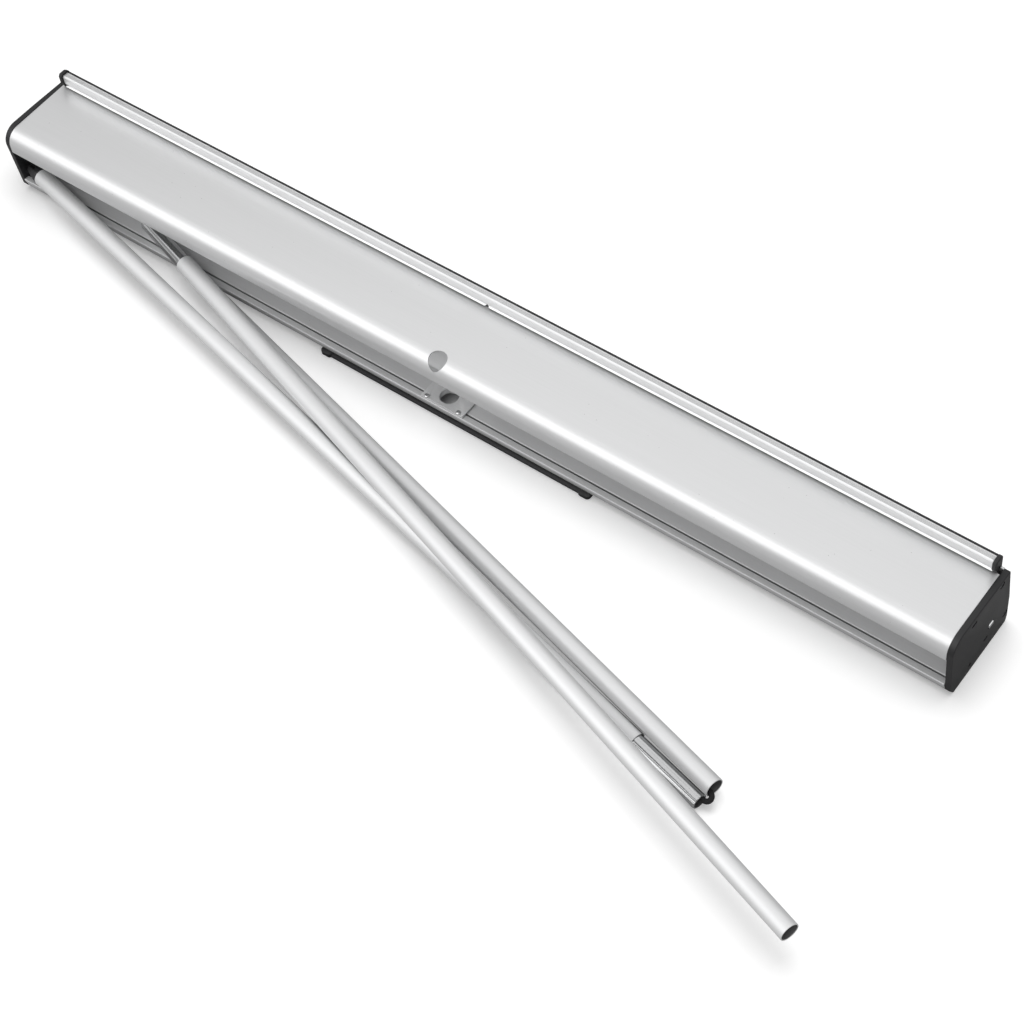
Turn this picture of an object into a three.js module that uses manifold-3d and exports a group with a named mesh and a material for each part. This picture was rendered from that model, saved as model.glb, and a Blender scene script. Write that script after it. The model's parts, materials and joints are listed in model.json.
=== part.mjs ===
// Fabric roll-up banner stand, folded as it is carried: the spring roller base with its top rail
// closed, and the three pole sections, two of them on one elastic cord, lying on the floor behind it.
// Millimetres. X runs along the base, +Y is the side the banner comes out of, +Z is up.
// The sizes below are measured from the floor under the middle of the base; the last lines move
// the whole part so that its origin is the middle of its footprint, on the floor.
import * as THREE from "three";
import { mergeVertices } from "three/addons/utils/BufferGeometryUtils.js";
import Module from "manifold-3d";

const wasm = await Module();
wasm.setup();

// Clearances and cutting
const SEAT_GAP = 0.3;
const CUT_OVERRUN = 2;
const JOIN_OVERLAP = 0.4;
const ARC_STEPS = 14;
const ROUND_SIDES = 28;
const SMALL_SIDES = 12;
const CORD_SIDES = 10;
const NUT_SIDES = 6;

// Base extrusion: the section is drawn in Y (depth) and Z (height)
const BASE_LENGTH = 850;
const WALL = 1.5;
const DECK_TOP = 64.5;
const DECK_FRONT_Y = 28;
const DECK_LIP_DROP = 4;
const NOSE_CENTRE_Y = -25.7;
const NOSE_RADIUS = 12.2;
const NOSE_EDGE_Z = 45.5;
const UNDERSIDE_Z = 3.6;
const RECESS_FLOOR_Z = 13.8;
const RECESS_WALL_Y = -9;
const GROOVE_Y = -30.8;
const GROOVE_WIDTH = 1.5;
const GROOVE_DEPTH = 5.6;
const GROOVE_WALL = 1.2;
const LIP_EDGE_Y = -36.3;
const LIP_FOOT_Y = -33.5;
const FRONT_FOOT_Y = 36.2;
const FRONT_FOOT_CHAMFER = 1.8;
const FRONT_BULGE_Y = 38;
const FRONT_BULGE_Z = 8;
const FRONT_WAIST_Y = 37.3;
const FRONT_WAIST_Z = 29.5;
const FRONT_TOP_Y = 35.4;
const FRONT_TOP_Z = 63.3;
const FRONT_RETURN = 1.9;

// What runs along the base ends this far short of each end of the extrusion
const ROLLER_SETBACK = 11;
const BANNER_SETBACK = 25;
const RAIL_SETBACK = 5;

// Screw channels inside the extrusion, one screw in each for each end cap
const CAP_SCREW_RADIUS = 1.4;
const CHANNEL_BORE_RADIUS = CAP_SCREW_RADIUS + SEAT_GAP;
const CHANNEL_RADIUS = 3;
const UPPER_CHANNEL = { y: 24, z: 60.4 };
const LOWER_CHANNEL = { y: 34.3, z: 13.6 };
const CAP_SCREW_LENGTH = 16;
const CAP_SCREW_HEAD_RADIUS = 2.7;
const CAP_SCREW_HEAD_HEIGHT = 1.6;

// End caps
const CAP_THICKNESS = 4.6;
const CAP_CHAMFER = 0.8;
const CAP_TOP_FRONT_Y = 34.6;
const CAP_TOP_FRONT_Z = 63.8;
const CAP_TOP_MID_Y = -1.3;
const CAP_TOP_MID_Z = 65;
const CAP_NOSE_TOP_Z = 65.3;
const CAP_NOSE_RADIUS = 13.3;
const CAP_BACK_Y = -37.9;
const CAP_BACK_FOOT_Y = -35.4;
const CAP_BACK_FOOT_Z = 7;
const CAP_BOTTOM_BACK_Y = -31;
const CAP_BOTTOM_FRONT_Y = 36.4;
const CAP_FRONT_FOOT_Y = 38.2;
const CAP_FRONT_FOOT_Z = 1.8;
const CAP_FRONT_BULGE_Y = 39.2;
const CAP_FRONT_BULGE_Z = 7;
const CAP_FRONT_WAIST_Y = 38.8;
const CAP_FRONT_WAIST_Z = 29.5;
const CAP_LATCH_SLOT = { y: -11.6, z: 59, length: 6, width: 2.6 };
const CAP_LOWER_SLOT = { y: 8.7, z: 15.4, length: 5, width: 2.4 };
const CAP_PIN_HOLE = { y: -11, z: 9, radius: 1.6 };
const CAP_HOUSING_WALL = 1.6;
const CAP_HOUSING_LENGTH = 5;
const CAP_HOUSING_CLEARANCE = 0.6;

// Spring roller
const ROLLER_Y = 13.9;
const ROLLER_Z = 26.5;
const ROLLER_RADIUS = 12.5;
const ROLLER_WALL = 1.2;
const ROLL_RADIUS = 20.4;
const AXLE_RADIUS = 3;
const AXLE_FLAT_WIDTH = 3.6;
const AXLE_FLAT_PROUD = 0.6;
const IDLER_PIN_LENGTH = 34;
const SPRING_AXLE_LENGTH = 300;
const PLUG_LENGTH = 20;
const PLUG_FLANGE_THICKNESS = 2;
const SPRING_TURNS = 20;
const SPRING_WIRE_RADIUS = 0.9;
const SPRING_COIL_RADIUS = 6.6;
const SPRING_STEPS_PER_TURN = 10;
const SPRING_WIRE_SIDES = 5;

// Banner and top rail
const FABRIC_THICKNESS = 0.35;
const SHEET_Y = 31.95;
const RAIL_BOTTOM_Z = 65.3;
const RAIL_HEIGHT = 12.2;
const RAIL_DEPTH = 5.3;
const RAIL_WALL = 1.2;
const RAIL_CORNER = 1;
const RAIL_RIBS = 3;
const RAIL_RIB = 0.5;
const RAIL_RIB_PITCH = 1.3;
const RAIL_FOOT_HEIGHT = 1.6;
const RAIL_FOOT_SETBACK = 0.4;
const RAIL_GROOVE_HEIGHT = 2.2;
const RAIL_GROOVE_DEPTH = 1.7;
const RAIL_NOTCH_WIDTH = 4.4;
const RAIL_NOTCH_X = 1.5;
const CLAMP_THICKNESS = 1.3;
const CLAMP_HEIGHT = 10.6;
const SHEET_RAIL_ENGAGEMENT = 9.5;
const RAIL_CAP_THICKNESS = 3.2;
const RAIL_CAP_DOME = 1.1;
const RAIL_CAP_FRONT_Y = 24.5;
const RAIL_CAP_FOOT_Y = 26.8;
const RAIL_CAP_BACK_Y = 34;
const RAIL_CAP_TOP_Z = 79.2;
const RAIL_CAP_SHOULDER_Z = 77;
const RAIL_CAP_CHIN_Z = 71;
const RAIL_CAP_TOP_FRONT_Y = 26;
const RAIL_CAP_TOP_BACK_Y = 31.6;
const RAIL_CAP_RECESS = 0.9;

// Pole hole in the nose and the socket plate below it
const POLE_RADIUS = 7.15;
const POLE_FIT = 0.25;
const NOSE_HOLE_Y = -30.5;
const SOCKET_HOLE_Y = -25.5;
const SOCKET_DEPTH = 5.8;
const SOCKET_WALL = 0.6;
const PLATE_X = 0.5;
const PLATE_HALF_WIDTH = 19.1;
const PLATE_THICKNESS = 1.9;
const PLATE_FRONT_Y = -35.7;
const PLATE_BACK_Y = -10;
const PLATE_SCREW_X = 14.6;
const PLATE_SCREW_Y = -34;
const PLATE_SCREW_RADIUS = 1.1;
const PLATE_SCREW_HEAD_RADIUS = 1.95;
const PLATE_SCREW_HEAD_HEIGHT = 1;
const PLATE_SCREW_LENGTH = 6;

// Swivel foot under the base
const FOOT_LENGTH = 250.6;
const FOOT_X = 7.9;
const FOOT_Y = -23.3;
const FOOT_WIDTH = 25.6;
const FOOT_BOTTOM_Z = 0.3;
const FOOT_THICKNESS = 2.3;
const FOOT_CORNER = 3;
const PAD_LENGTH = 10.5;
const PAD_OVERHANG = 1.1;
const PAD_HEIGHT = 3.2;
const PIVOT_BOLT_RADIUS = 2.5;
const PIVOT_HEAD_RADIUS = 5.2;
const PIVOT_HEAD_HEIGHT = 1.1;
const WASHER_RADIUS = 6.5;
const PIVOT_NUT_RADIUS = 4.5;
const PIVOT_NUT_HEIGHT = 3.2;

// Pole sections: ends of their centre lines where they lie, X from the left end of the extrusion
const POLE_WALL = 0.8;
const TOP_UPPER_END = { x: 17.62, y: -31.1, z: 21.73 };
const TOP_FERRULE_END = { x: 763.13, y: -195.66, z: 6.15 };
const MIDDLE_UPPER_END = { x: 212.24, y: -43.82, z: 7.6 };
const MIDDLE_LOWER_END = { x: 767.74, y: -185.18, z: 14.11 };
const BOTTOM_FERRULE_END = { x: 121.84, y: -20.97, z: 20.4 };
const BOTTOM_LOWER_END = { x: 868.83, y: -251.96, z: 35.89 };
const TOP_FERRULE_SHOWN = 61;
const BOTTOM_FERRULE_SHOWN = 57;
const FERRULE_WALL = 0.8;
const FERRULE_SEATED = 28;
const FERRULE_FLUTES = 10;
const STEPS_PER_FLUTE = 4;
const FERRULE_FLUTE_DEPTH = 0.45;
const FERRULE_TIP_CHAMFER = 0.6;
const HOOK_CAP_LENGTH = 15.5;
const HOOK_CAP_TIP_RADIUS = 4.6;
const HOOK_CAP_PLUG_LENGTH = 14;
const HOOK_SLOT_WIDTH = 2.4;
const HOOK_SLOT_DEPTH = 9;

// Elastic cord through the poles
const CORD_RADIUS = 2;
const ANCHOR_LENGTH = 10;
const ANCHOR_INSET = 40;
const LOOP_HANDLE = 6;
const LOOP_MOUTH_INSET = 1.5;
const CORD_END_INSET = 2;
const LINK_STEPS = 16;

// Finishes
const aluminium = () => new THREE.MeshStandardMaterial({ color: 0xd6d7d8, roughness: 0.38, metalness: 0.85 });
const deckAluminium = () => new THREE.MeshStandardMaterial({ color: 0xcfd0d1, roughness: 0.42, metalness: 0.85 });
const tubeAluminium = () => new THREE.MeshStandardMaterial({ color: 0xc9cacb, roughness: 0.34, metalness: 0.9 });
const steel = () => new THREE.MeshStandardMaterial({ color: 0xb4b6b8, roughness: 0.28, metalness: 1 });
const blackPlastic = () => new THREE.MeshStandardMaterial({ color: 0x2b2c2e, roughness: 0.55, metalness: 0 });
const blackSteel = () => new THREE.MeshStandardMaterial({ color: 0x1d1e20, roughness: 0.45, metalness: 0.4 });
const greyPlastic = () => new THREE.MeshStandardMaterial({ color: 0x8f9294, roughness: 0.5, metalness: 0 });
const fabric = () => new THREE.MeshStandardMaterial({ color: 0xf1f1ef, roughness: 0.9, metalness: 0 });
const elastic = () => new THREE.MeshStandardMaterial({ color: 0x202124, roughness: 0.85, metalness: 0 });

// Turns a closed geometry into a solid that can be cut and joined
function solidOf(geometry) {
  const bare = geometry.index ? geometry.clone() : geometry;
  bare.deleteAttribute("normal");
  bare.deleteAttribute("uv");
  const merged = mergeVertices(bare, 1e-4);
  const mesh = new wasm.Mesh({
    numProp: 3,
    vertProperties: new Float32Array(merged.attributes.position.array),
    triVerts: new Uint32Array(merged.index.array),
  });
  return new wasm.Manifold(mesh);
}

// Turns a finished solid back into a three.js geometry
function geometryOf(solid) {
  const mesh = solid.getMesh();
  const geometry = new THREE.BufferGeometry();
  geometry.setAttribute("position", new THREE.BufferAttribute(new Float32Array(mesh.vertProperties), 3));
  geometry.setIndex(new THREE.BufferAttribute(new Uint32Array(mesh.triVerts), 1));
  const flat = geometry.toNonIndexed();
  flat.computeVertexNormals();
  return flat;
}

const part = new THREE.Group();

function addNode(name, solid, material) {
  const mesh = new THREE.Mesh(geometryOf(solid), material);
  mesh.name = name;
  part.add(mesh);
}

// A closed outline in the YZ section, pushed along X from x0 to x1
function alongX(outline, x0, x1, holes = []) {
  const shape = outline instanceof THREE.Shape ? outline : new THREE.Shape(outline);
  shape.holes.push(...holes);
  const geometry = new THREE.ExtrudeGeometry(shape, { depth: x1 - x0, bevelEnabled: false, curveSegments: ARC_STEPS });
  const turn = new THREE.Matrix4().makeBasis(
    new THREE.Vector3(0, 1, 0), new THREE.Vector3(0, 0, 1), new THREE.Vector3(1, 0, 0));
  geometry.applyMatrix4(turn);
  geometry.translate(x0, 0, 0);
  return solidOf(geometry);
}

// A closed outline in plan, pushed up from z0 to z1
function alongZ(outline, z0, z1) {
  const shape = outline instanceof THREE.Shape ? outline : new THREE.Shape(outline);
  const geometry = new THREE.ExtrudeGeometry(shape, { depth: z1 - z0, bevelEnabled: false, curveSegments: ARC_STEPS });
  geometry.translate(0, 0, z0);
  return solidOf(geometry);
}

function points(...pairs) {
  return pairs.map(([a, b]) => new THREE.Vector2(a, b));
}

function box(x0, x1, y0, y1, z0, z1) {
  const geometry = new THREE.BoxGeometry(x1 - x0, y1 - y0, z1 - z0);
  geometry.translate((x0 + x1) / 2, (y0 + y1) / 2, (z0 + z1) / 2);
  return solidOf(geometry);
}

// A solid of revolution from [radius, distance] pairs, its axis along +Z from the origin
function revolved(profile, sides) {
  return solidOf(new THREE.LatheGeometry(points(...profile), sides).rotateX(Math.PI / 2));
}

function rod(radius, z0, z1, sides = ROUND_SIDES) {
  return revolved([[0, z0], [radius, z0], [radius, z1], [0, z1]], sides);
}

function sleeve(outer, inner, z0, z1, sides = ROUND_SIDES) {
  return revolved([[inner, z0], [outer, z0], [outer, z1], [inner, z1], [inner, z0]], sides);
}

// Stands a solid made along +Z at a place, with its axis along the given direction
function placed(solid, place, direction) {
  const turn = new THREE.Quaternion().setFromUnitVectors(new THREE.Vector3(0, 0, 1), direction.clone().normalize());
  const matrix = new THREE.Matrix4().compose(place, turn, new THREE.Vector3(1, 1, 1));
  return solid.transform(matrix.elements);
}

const PLUS_X = new THREE.Vector3(1, 0, 0);
const MINUS_X = new THREE.Vector3(-1, 0, 0);
const PLUS_Z = new THREE.Vector3(0, 0, 1);

function rodAlongX(radius, x0, x1, y, z, sides = ROUND_SIDES) {
  return placed(rod(radius, 0, x1 - x0, sides), new THREE.Vector3(x0, y, z), PLUS_X);
}

function sleeveAlongX(outer, inner, x0, x1, y, z) {
  return placed(sleeve(outer, inner, 0, x1 - x0), new THREE.Vector3(x0, y, z), PLUS_X);
}

// Points on an arc in the section, angles in degrees from +Y towards +Z
function arc(y, z, radius, from, to, steps = ARC_STEPS) {
  const list = [];
  for (let i = 0; i <= steps; i += 1) {
    const angle = THREE.MathUtils.degToRad(from + (to - from) * i / steps);
    list.push([y + radius * Math.cos(angle), z + radius * Math.sin(angle)]);
  }
  return list;
}

// Lengths that follow the base
const rollerLength = BASE_LENGTH - 2 * ROLLER_SETBACK;
const bannerWidth = BASE_LENGTH - 2 * BANNER_SETBACK;
const railLength = BASE_LENGTH - 2 * RAIL_SETBACK;

// Base extrusion
const deckUnder = DECK_TOP - WALL;
const noseCentreZ = DECK_TOP - NOSE_RADIUS;
const recessUnder = RECESS_FLOOR_Z - WALL;
const bottomInner = UNDERSIDE_Z + WALL;

function deckAndNose() {
  const outer = arc(NOSE_CENTRE_Y, noseCentreZ, NOSE_RADIUS, 90, 180);
  const inner = arc(NOSE_CENTRE_Y, noseCentreZ, NOSE_RADIUS - WALL, 180, 90);
  const lipBottom = DECK_TOP - DECK_LIP_DROP;
  return alongX(points(
    [DECK_FRONT_Y, lipBottom], [DECK_FRONT_Y, DECK_TOP], ...outer,
    [NOSE_CENTRE_Y - NOSE_RADIUS, NOSE_EDGE_Z], [NOSE_CENTRE_Y - NOSE_RADIUS + WALL, NOSE_EDGE_Z], ...inner,
    [DECK_FRONT_Y - WALL, deckUnder], [DECK_FRONT_Y - WALL, lipBottom],
  ), -BASE_LENGTH / 2, BASE_LENGTH / 2);
}

function lowerShell() {
  const foot = FRONT_FOOT_Y;
  return alongX(points(
    [LIP_FOOT_Y, UNDERSIDE_Z], [foot, UNDERSIDE_Z],
    [foot + FRONT_FOOT_CHAMFER, UNDERSIDE_Z + FRONT_FOOT_CHAMFER], [FRONT_BULGE_Y, FRONT_BULGE_Z],
    [FRONT_WAIST_Y, FRONT_WAIST_Z], [FRONT_TOP_Y, FRONT_TOP_Z], [FRONT_TOP_Y - FRONT_RETURN, FRONT_TOP_Z],
    [FRONT_TOP_Y - FRONT_RETURN, FRONT_TOP_Z - WALL], [FRONT_TOP_Y - WALL, FRONT_TOP_Z - WALL],
    [FRONT_WAIST_Y - WALL, FRONT_WAIST_Z], [FRONT_BULGE_Y - WALL, FRONT_BULGE_Z],
    [foot - JOIN_OVERLAP, bottomInner], [LIP_FOOT_Y + WALL, bottomInner],
    [LIP_EDGE_Y + WALL, recessUnder], [GROOVE_Y - GROOVE_WIDTH / 2, recessUnder],
    [GROOVE_Y - GROOVE_WIDTH / 2, RECESS_FLOOR_Z], [LIP_EDGE_Y, RECESS_FLOOR_Z],
    [LIP_EDGE_Y, RECESS_FLOOR_Z - WALL],
  ), -BASE_LENGTH / 2, BASE_LENGTH / 2);
}

function recessShell() {
  const grooveNear = GROOVE_Y + GROOVE_WIDTH / 2;
  const grooveFar = GROOVE_Y - GROOVE_WIDTH / 2;
  const grooveBottom = RECESS_FLOOR_Z - GROOVE_DEPTH;
  return alongX(points(
    [grooveFar - GROOVE_WALL, grooveBottom - GROOVE_WALL], [grooveNear + GROOVE_WALL, grooveBottom - GROOVE_WALL],
    [grooveNear + GROOVE_WALL, recessUnder], [RECESS_WALL_Y + WALL, recessUnder],
    [RECESS_WALL_Y + WALL, deckUnder + JOIN_OVERLAP], [RECESS_WALL_Y, deckUnder + JOIN_OVERLAP],
    [RECESS_WALL_Y, RECESS_FLOOR_Z], [grooveNear, RECESS_FLOOR_Z], [grooveNear, grooveBottom],
    [grooveFar, grooveBottom], [grooveFar, recessUnder + JOIN_OVERLAP],
    [grooveFar - GROOVE_WALL, recessUnder + JOIN_OVERLAP],
  ), -BASE_LENGTH / 2, BASE_LENGTH / 2);
}

function screwChannel(channel) {
  return rodAlongX(CHANNEL_RADIUS, -BASE_LENGTH / 2, BASE_LENGTH / 2, channel.y, channel.z, SMALL_SIDES);
}

function screwChannelBore(channel) {
  const reach = BASE_LENGTH / 2 + CUT_OVERRUN;
  return rodAlongX(CHANNEL_BORE_RADIUS, -reach, reach, channel.y, channel.z, SMALL_SIDES);
}

const holeRadius = POLE_RADIUS + POLE_FIT;
const collarRadius = holeRadius + SOCKET_WALL;
const plateTop = RECESS_FLOOR_Z + SEAT_GAP + PLATE_THICKNESS;
const socketBottom = plateTop - SOCKET_DEPTH;

function cassetteShell() {
  let shell = lowerShell().add(deckAndNose()).add(recessShell());
  for (const channel of [UPPER_CHANNEL, LOWER_CHANNEL]) {
    shell = shell.add(screwChannel(channel)).subtract(screwChannelBore(channel));
  }
  const leaning = new THREE.Vector3(0, NOSE_HOLE_Y - SOCKET_HOLE_Y, DECK_TOP - RECESS_FLOOR_Z);
  const noseHole = placed(
    rod(holeRadius, 0, leaning.length()), new THREE.Vector3(0, SOCKET_HOLE_Y, RECESS_FLOOR_Z), leaning);
  const noseZone = box(
    -holeRadius * 2, holeRadius * 2, NOSE_CENTRE_Y - NOSE_RADIUS - CUT_OVERRUN, RECESS_WALL_Y,
    NOSE_EDGE_Z, DECK_TOP + CUT_OVERRUN);
  const longHole = noseHole.add(noseHole.translate(0, leaning.y / 2, leaning.z / 2));
  shell = shell.subtract(longHole.intersect(noseZone));
  shell = shell.subtract(placed(
    rod(collarRadius + SEAT_GAP, 0, SOCKET_DEPTH), new THREE.Vector3(0, SOCKET_HOLE_Y, socketBottom - SEAT_GAP),
    PLUS_Z));
  shell = shell.subtract(placed(
    rod(PIVOT_BOLT_RADIUS + SEAT_GAP, 0, WALL + 2 * CUT_OVERRUN, SMALL_SIDES),
    new THREE.Vector3(FOOT_X, FOOT_Y, UNDERSIDE_Z - CUT_OVERRUN), PLUS_Z));
  for (const side of [-1, 1]) {
    shell = shell.subtract(placed(
      rod(PLATE_SCREW_RADIUS + SEAT_GAP, 0, PLATE_SCREW_LENGTH + CUT_OVERRUN, SMALL_SIDES),
      new THREE.Vector3(PLATE_X + side * PLATE_SCREW_X, PLATE_SCREW_Y, plateTop - PLATE_SCREW_LENGTH - SEAT_GAP), PLUS_Z));
  }
  return shell;
}
addNode("cassette_shell", cassetteShell(), deckAluminium());

// End caps: the outline stands a little proud of the aluminium all round
const capInnerX = BASE_LENGTH / 2 + SEAT_GAP;
const capOuterX = capInnerX + CAP_THICKNESS;

function capOutline(inset) {
  const nose = arc(
    CAP_BACK_Y + CAP_NOSE_RADIUS, CAP_NOSE_TOP_Z - CAP_NOSE_RADIUS, CAP_NOSE_RADIUS - inset, 90, 180);
  return points(
    [CAP_BOTTOM_BACK_Y + inset, inset], [CAP_BOTTOM_FRONT_Y - inset, inset],
    [CAP_FRONT_FOOT_Y - inset, CAP_FRONT_FOOT_Z + inset], [CAP_FRONT_BULGE_Y - inset, CAP_FRONT_BULGE_Z],
    [CAP_FRONT_WAIST_Y - inset, CAP_FRONT_WAIST_Z], [CAP_TOP_FRONT_Y - inset, CAP_TOP_FRONT_Z - inset],
    [CAP_TOP_MID_Y, CAP_TOP_MID_Z - inset], ...nose,
    [CAP_BACK_FOOT_Y + inset, CAP_BACK_FOOT_Z],
  );
}

// Joins two outlines with the same number of points, in two planes across X, into one closed solid
function loft(outlineA, xA, outlineB, xB) {
  const count = outlineA.length;
  const positions = [];
  const put = (outline, x) => outline.forEach((p) => positions.push(x, p.x, p.y));
  put(outlineA, xA);
  put(outlineB, xB);
  const index = [];
  for (let i = 0; i < count; i += 1) {
    const j = (i + 1) % count;
    index.push(i, j, count + i, j, count + j, count + i);
  }
  for (const [a, b, c] of THREE.ShapeUtils.triangulateShape(outlineA, [])) {
    index.push(a, c, b);
  }
  for (const [a, b, c] of THREE.ShapeUtils.triangulateShape(outlineB, [])) {
    index.push(count + a, count + b, count + c);
  }
  const geometry = new THREE.BufferGeometry();
  geometry.setAttribute("position", new THREE.Float32BufferAttribute(positions, 3));
  geometry.setIndex(index);
  return solidOf(geometry);
}

function slotCutter(slot) {
  const half = slot.length / 2;
  const reach = CUT_OVERRUN + CAP_THICKNESS;
  return box(
    capInnerX - reach, capOuterX + reach, slot.y - half, slot.y + half,
    slot.z - slot.width / 2, slot.z + slot.width / 2);
}

const axleSlot = {
  y: ROLLER_Y, z: ROLLER_Z,
  length: 2 * (AXLE_RADIUS + SEAT_GAP), width: AXLE_FLAT_WIDTH + 2 * SEAT_GAP,
};

// The right-hand cap; the left one is its mirror image
function endCap() {
  let cap = loft(capOutline(0), capInnerX, capOutline(0), capOuterX - CAP_CHAMFER)
    .add(loft(capOutline(0), capOuterX - CAP_CHAMFER, capOutline(CAP_CHAMFER), capOuterX));
  const housingRadius = ROLL_RADIUS - CAP_HOUSING_CLEARANCE;
  cap = cap.add(sleeveAlongX(
    housingRadius, housingRadius - CAP_HOUSING_WALL, capInnerX - CAP_HOUSING_LENGTH, capInnerX + JOIN_OVERLAP,
    ROLLER_Y, ROLLER_Z));
  for (const slot of [CAP_LATCH_SLOT, CAP_LOWER_SLOT, axleSlot]) {
    cap = cap.subtract(slotCutter(slot));
  }
  cap = cap.subtract(rodAlongX(
    CAP_PIN_HOLE.radius, capInnerX - CUT_OVERRUN, capOuterX + CUT_OVERRUN, CAP_PIN_HOLE.y, CAP_PIN_HOLE.z,
    SMALL_SIDES));
  for (const channel of [UPPER_CHANNEL, LOWER_CHANNEL]) {
    cap = cap.subtract(rodAlongX(
      CHANNEL_BORE_RADIUS, capInnerX - CUT_OVERRUN, capOuterX + CUT_OVERRUN, channel.y, channel.z, SMALL_SIDES));
    cap = cap.subtract(rodAlongX(
      CAP_SCREW_HEAD_RADIUS + SEAT_GAP, capOuterX - CAP_SCREW_HEAD_HEIGHT - SEAT_GAP, capOuterX + CUT_OVERRUN,
      channel.y, channel.z, SMALL_SIDES));
  }
  return cap;
}

const rightCap = endCap();
addNode("right_end_cap", rightCap, blackPlastic());
addNode("left_end_cap", rightCap.mirror([1, 0, 0]), blackPlastic());

// End cap screws, made along +Z with the head at the outer end
function capScrew() {
  const under = CAP_SCREW_LENGTH - CAP_SCREW_HEAD_HEIGHT;
  return rod(CAP_SCREW_RADIUS, 0, under + JOIN_OVERLAP, SMALL_SIDES)
    .add(rod(CAP_SCREW_HEAD_RADIUS, under, CAP_SCREW_LENGTH, SMALL_SIDES));
}

for (const [side, sign, direction] of [["right", 1, PLUS_X], ["left", -1, MINUS_X]]) {
  for (const [level, channel] of [["upper", UPPER_CHANNEL], ["lower", LOWER_CHANNEL]]) {
    const place = new THREE.Vector3(sign * (capOuterX - CAP_SCREW_LENGTH), channel.y, channel.z);
    addNode(`${side}_cap_screw_${level}`, placed(capScrew(), place, direction), steel());
  }
}

// Roller: tube, wound banner, plugs, fixed axles and the spring that winds the banner in
const rollerEnd = rollerLength / 2;
const rollerBore = ROLLER_RADIUS - ROLLER_WALL;
const plugFit = rollerBore - SEAT_GAP;
const axleHole = AXLE_RADIUS + SEAT_GAP;

addNode("roller_tube", sleeveAlongX(
  ROLLER_RADIUS, rollerBore, -rollerEnd, rollerEnd, ROLLER_Y, ROLLER_Z), aluminium());

addNode("banner_roll", sleeveAlongX(
  ROLL_RADIUS, ROLLER_RADIUS + SEAT_GAP, -bannerWidth / 2, bannerWidth / 2, ROLLER_Y, ROLLER_Z), fabric());

// A plug in the end of the roller tube, flange outside, running on a fixed axle
function rollerPlug() {
  const flangeEnd = PLUG_LENGTH + PLUG_FLANGE_THICKNESS;
  return sleeve(plugFit, axleHole, 0, flangeEnd)
    .add(sleeve(ROLLER_RADIUS, axleHole, PLUG_LENGTH + SEAT_GAP, flangeEnd));
}

for (const [name, sign, direction] of [["roller_plug_left", -1, MINUS_X], ["roller_plug_right", 1, PLUS_X]]) {
  const place = new THREE.Vector3(sign * (rollerEnd - PLUG_LENGTH), ROLLER_Y, ROLLER_Z);
  addNode(name, placed(rollerPlug(), place, direction), greyPlastic());
}

// An axle with a flatted end that sits in the slot of the end cap
function flattedAxle(length) {
  const flatLength = CAP_THICKNESS + AXLE_FLAT_PROUD;
  const flats = box(
    -AXLE_RADIUS, AXLE_RADIUS, -AXLE_FLAT_WIDTH / 2, AXLE_FLAT_WIDTH / 2,
    length - flatLength - JOIN_OVERLAP, length);
  const round = rod(AXLE_RADIUS, 0, length - flatLength - SEAT_GAP, ROUND_SIDES);
  return round.add(rod(AXLE_RADIUS, 0, length).intersect(flats));
}

const axleTipX = capOuterX + AXLE_FLAT_PROUD;
addNode("idler_axle", placed(
  flattedAxle(IDLER_PIN_LENGTH).rotate([0, 0, 90]),
  new THREE.Vector3(-(axleTipX - IDLER_PIN_LENGTH), ROLLER_Y, ROLLER_Z), MINUS_X), steel());
addNode("spring_axle", placed(
  flattedAxle(SPRING_AXLE_LENGTH).rotate([0, 0, 90]),
  new THREE.Vector3(axleTipX - SPRING_AXLE_LENGTH, ROLLER_Y, ROLLER_Z), PLUS_X), steel());

// The plug that ties the inner end of the spring to the tube
const springPlugX = axleTipX - SPRING_AXLE_LENGTH;
addNode("spring_drive_plug", sleeveAlongX(
  plugFit, axleHole, springPlugX, springPlugX + PLUG_LENGTH, ROLLER_Y, ROLLER_Z), greyPlastic());

// Torsion spring round the spring axle, one unbroken wire
const springStartX = springPlugX + PLUG_LENGTH + SEAT_GAP + SPRING_WIRE_RADIUS;
const springEndX = rollerEnd - PLUG_LENGTH - SEAT_GAP - SPRING_WIRE_RADIUS;
const springPitch = (springEndX - springStartX) / SPRING_TURNS;

function springPoint(turn) {
  const angle = 2 * Math.PI * turn;
  return new THREE.Vector3(
    springStartX + springPitch * turn,
    ROLLER_Y + SPRING_COIL_RADIUS * Math.cos(angle),
    ROLLER_Z + SPRING_COIL_RADIUS * Math.sin(angle));
}

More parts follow.
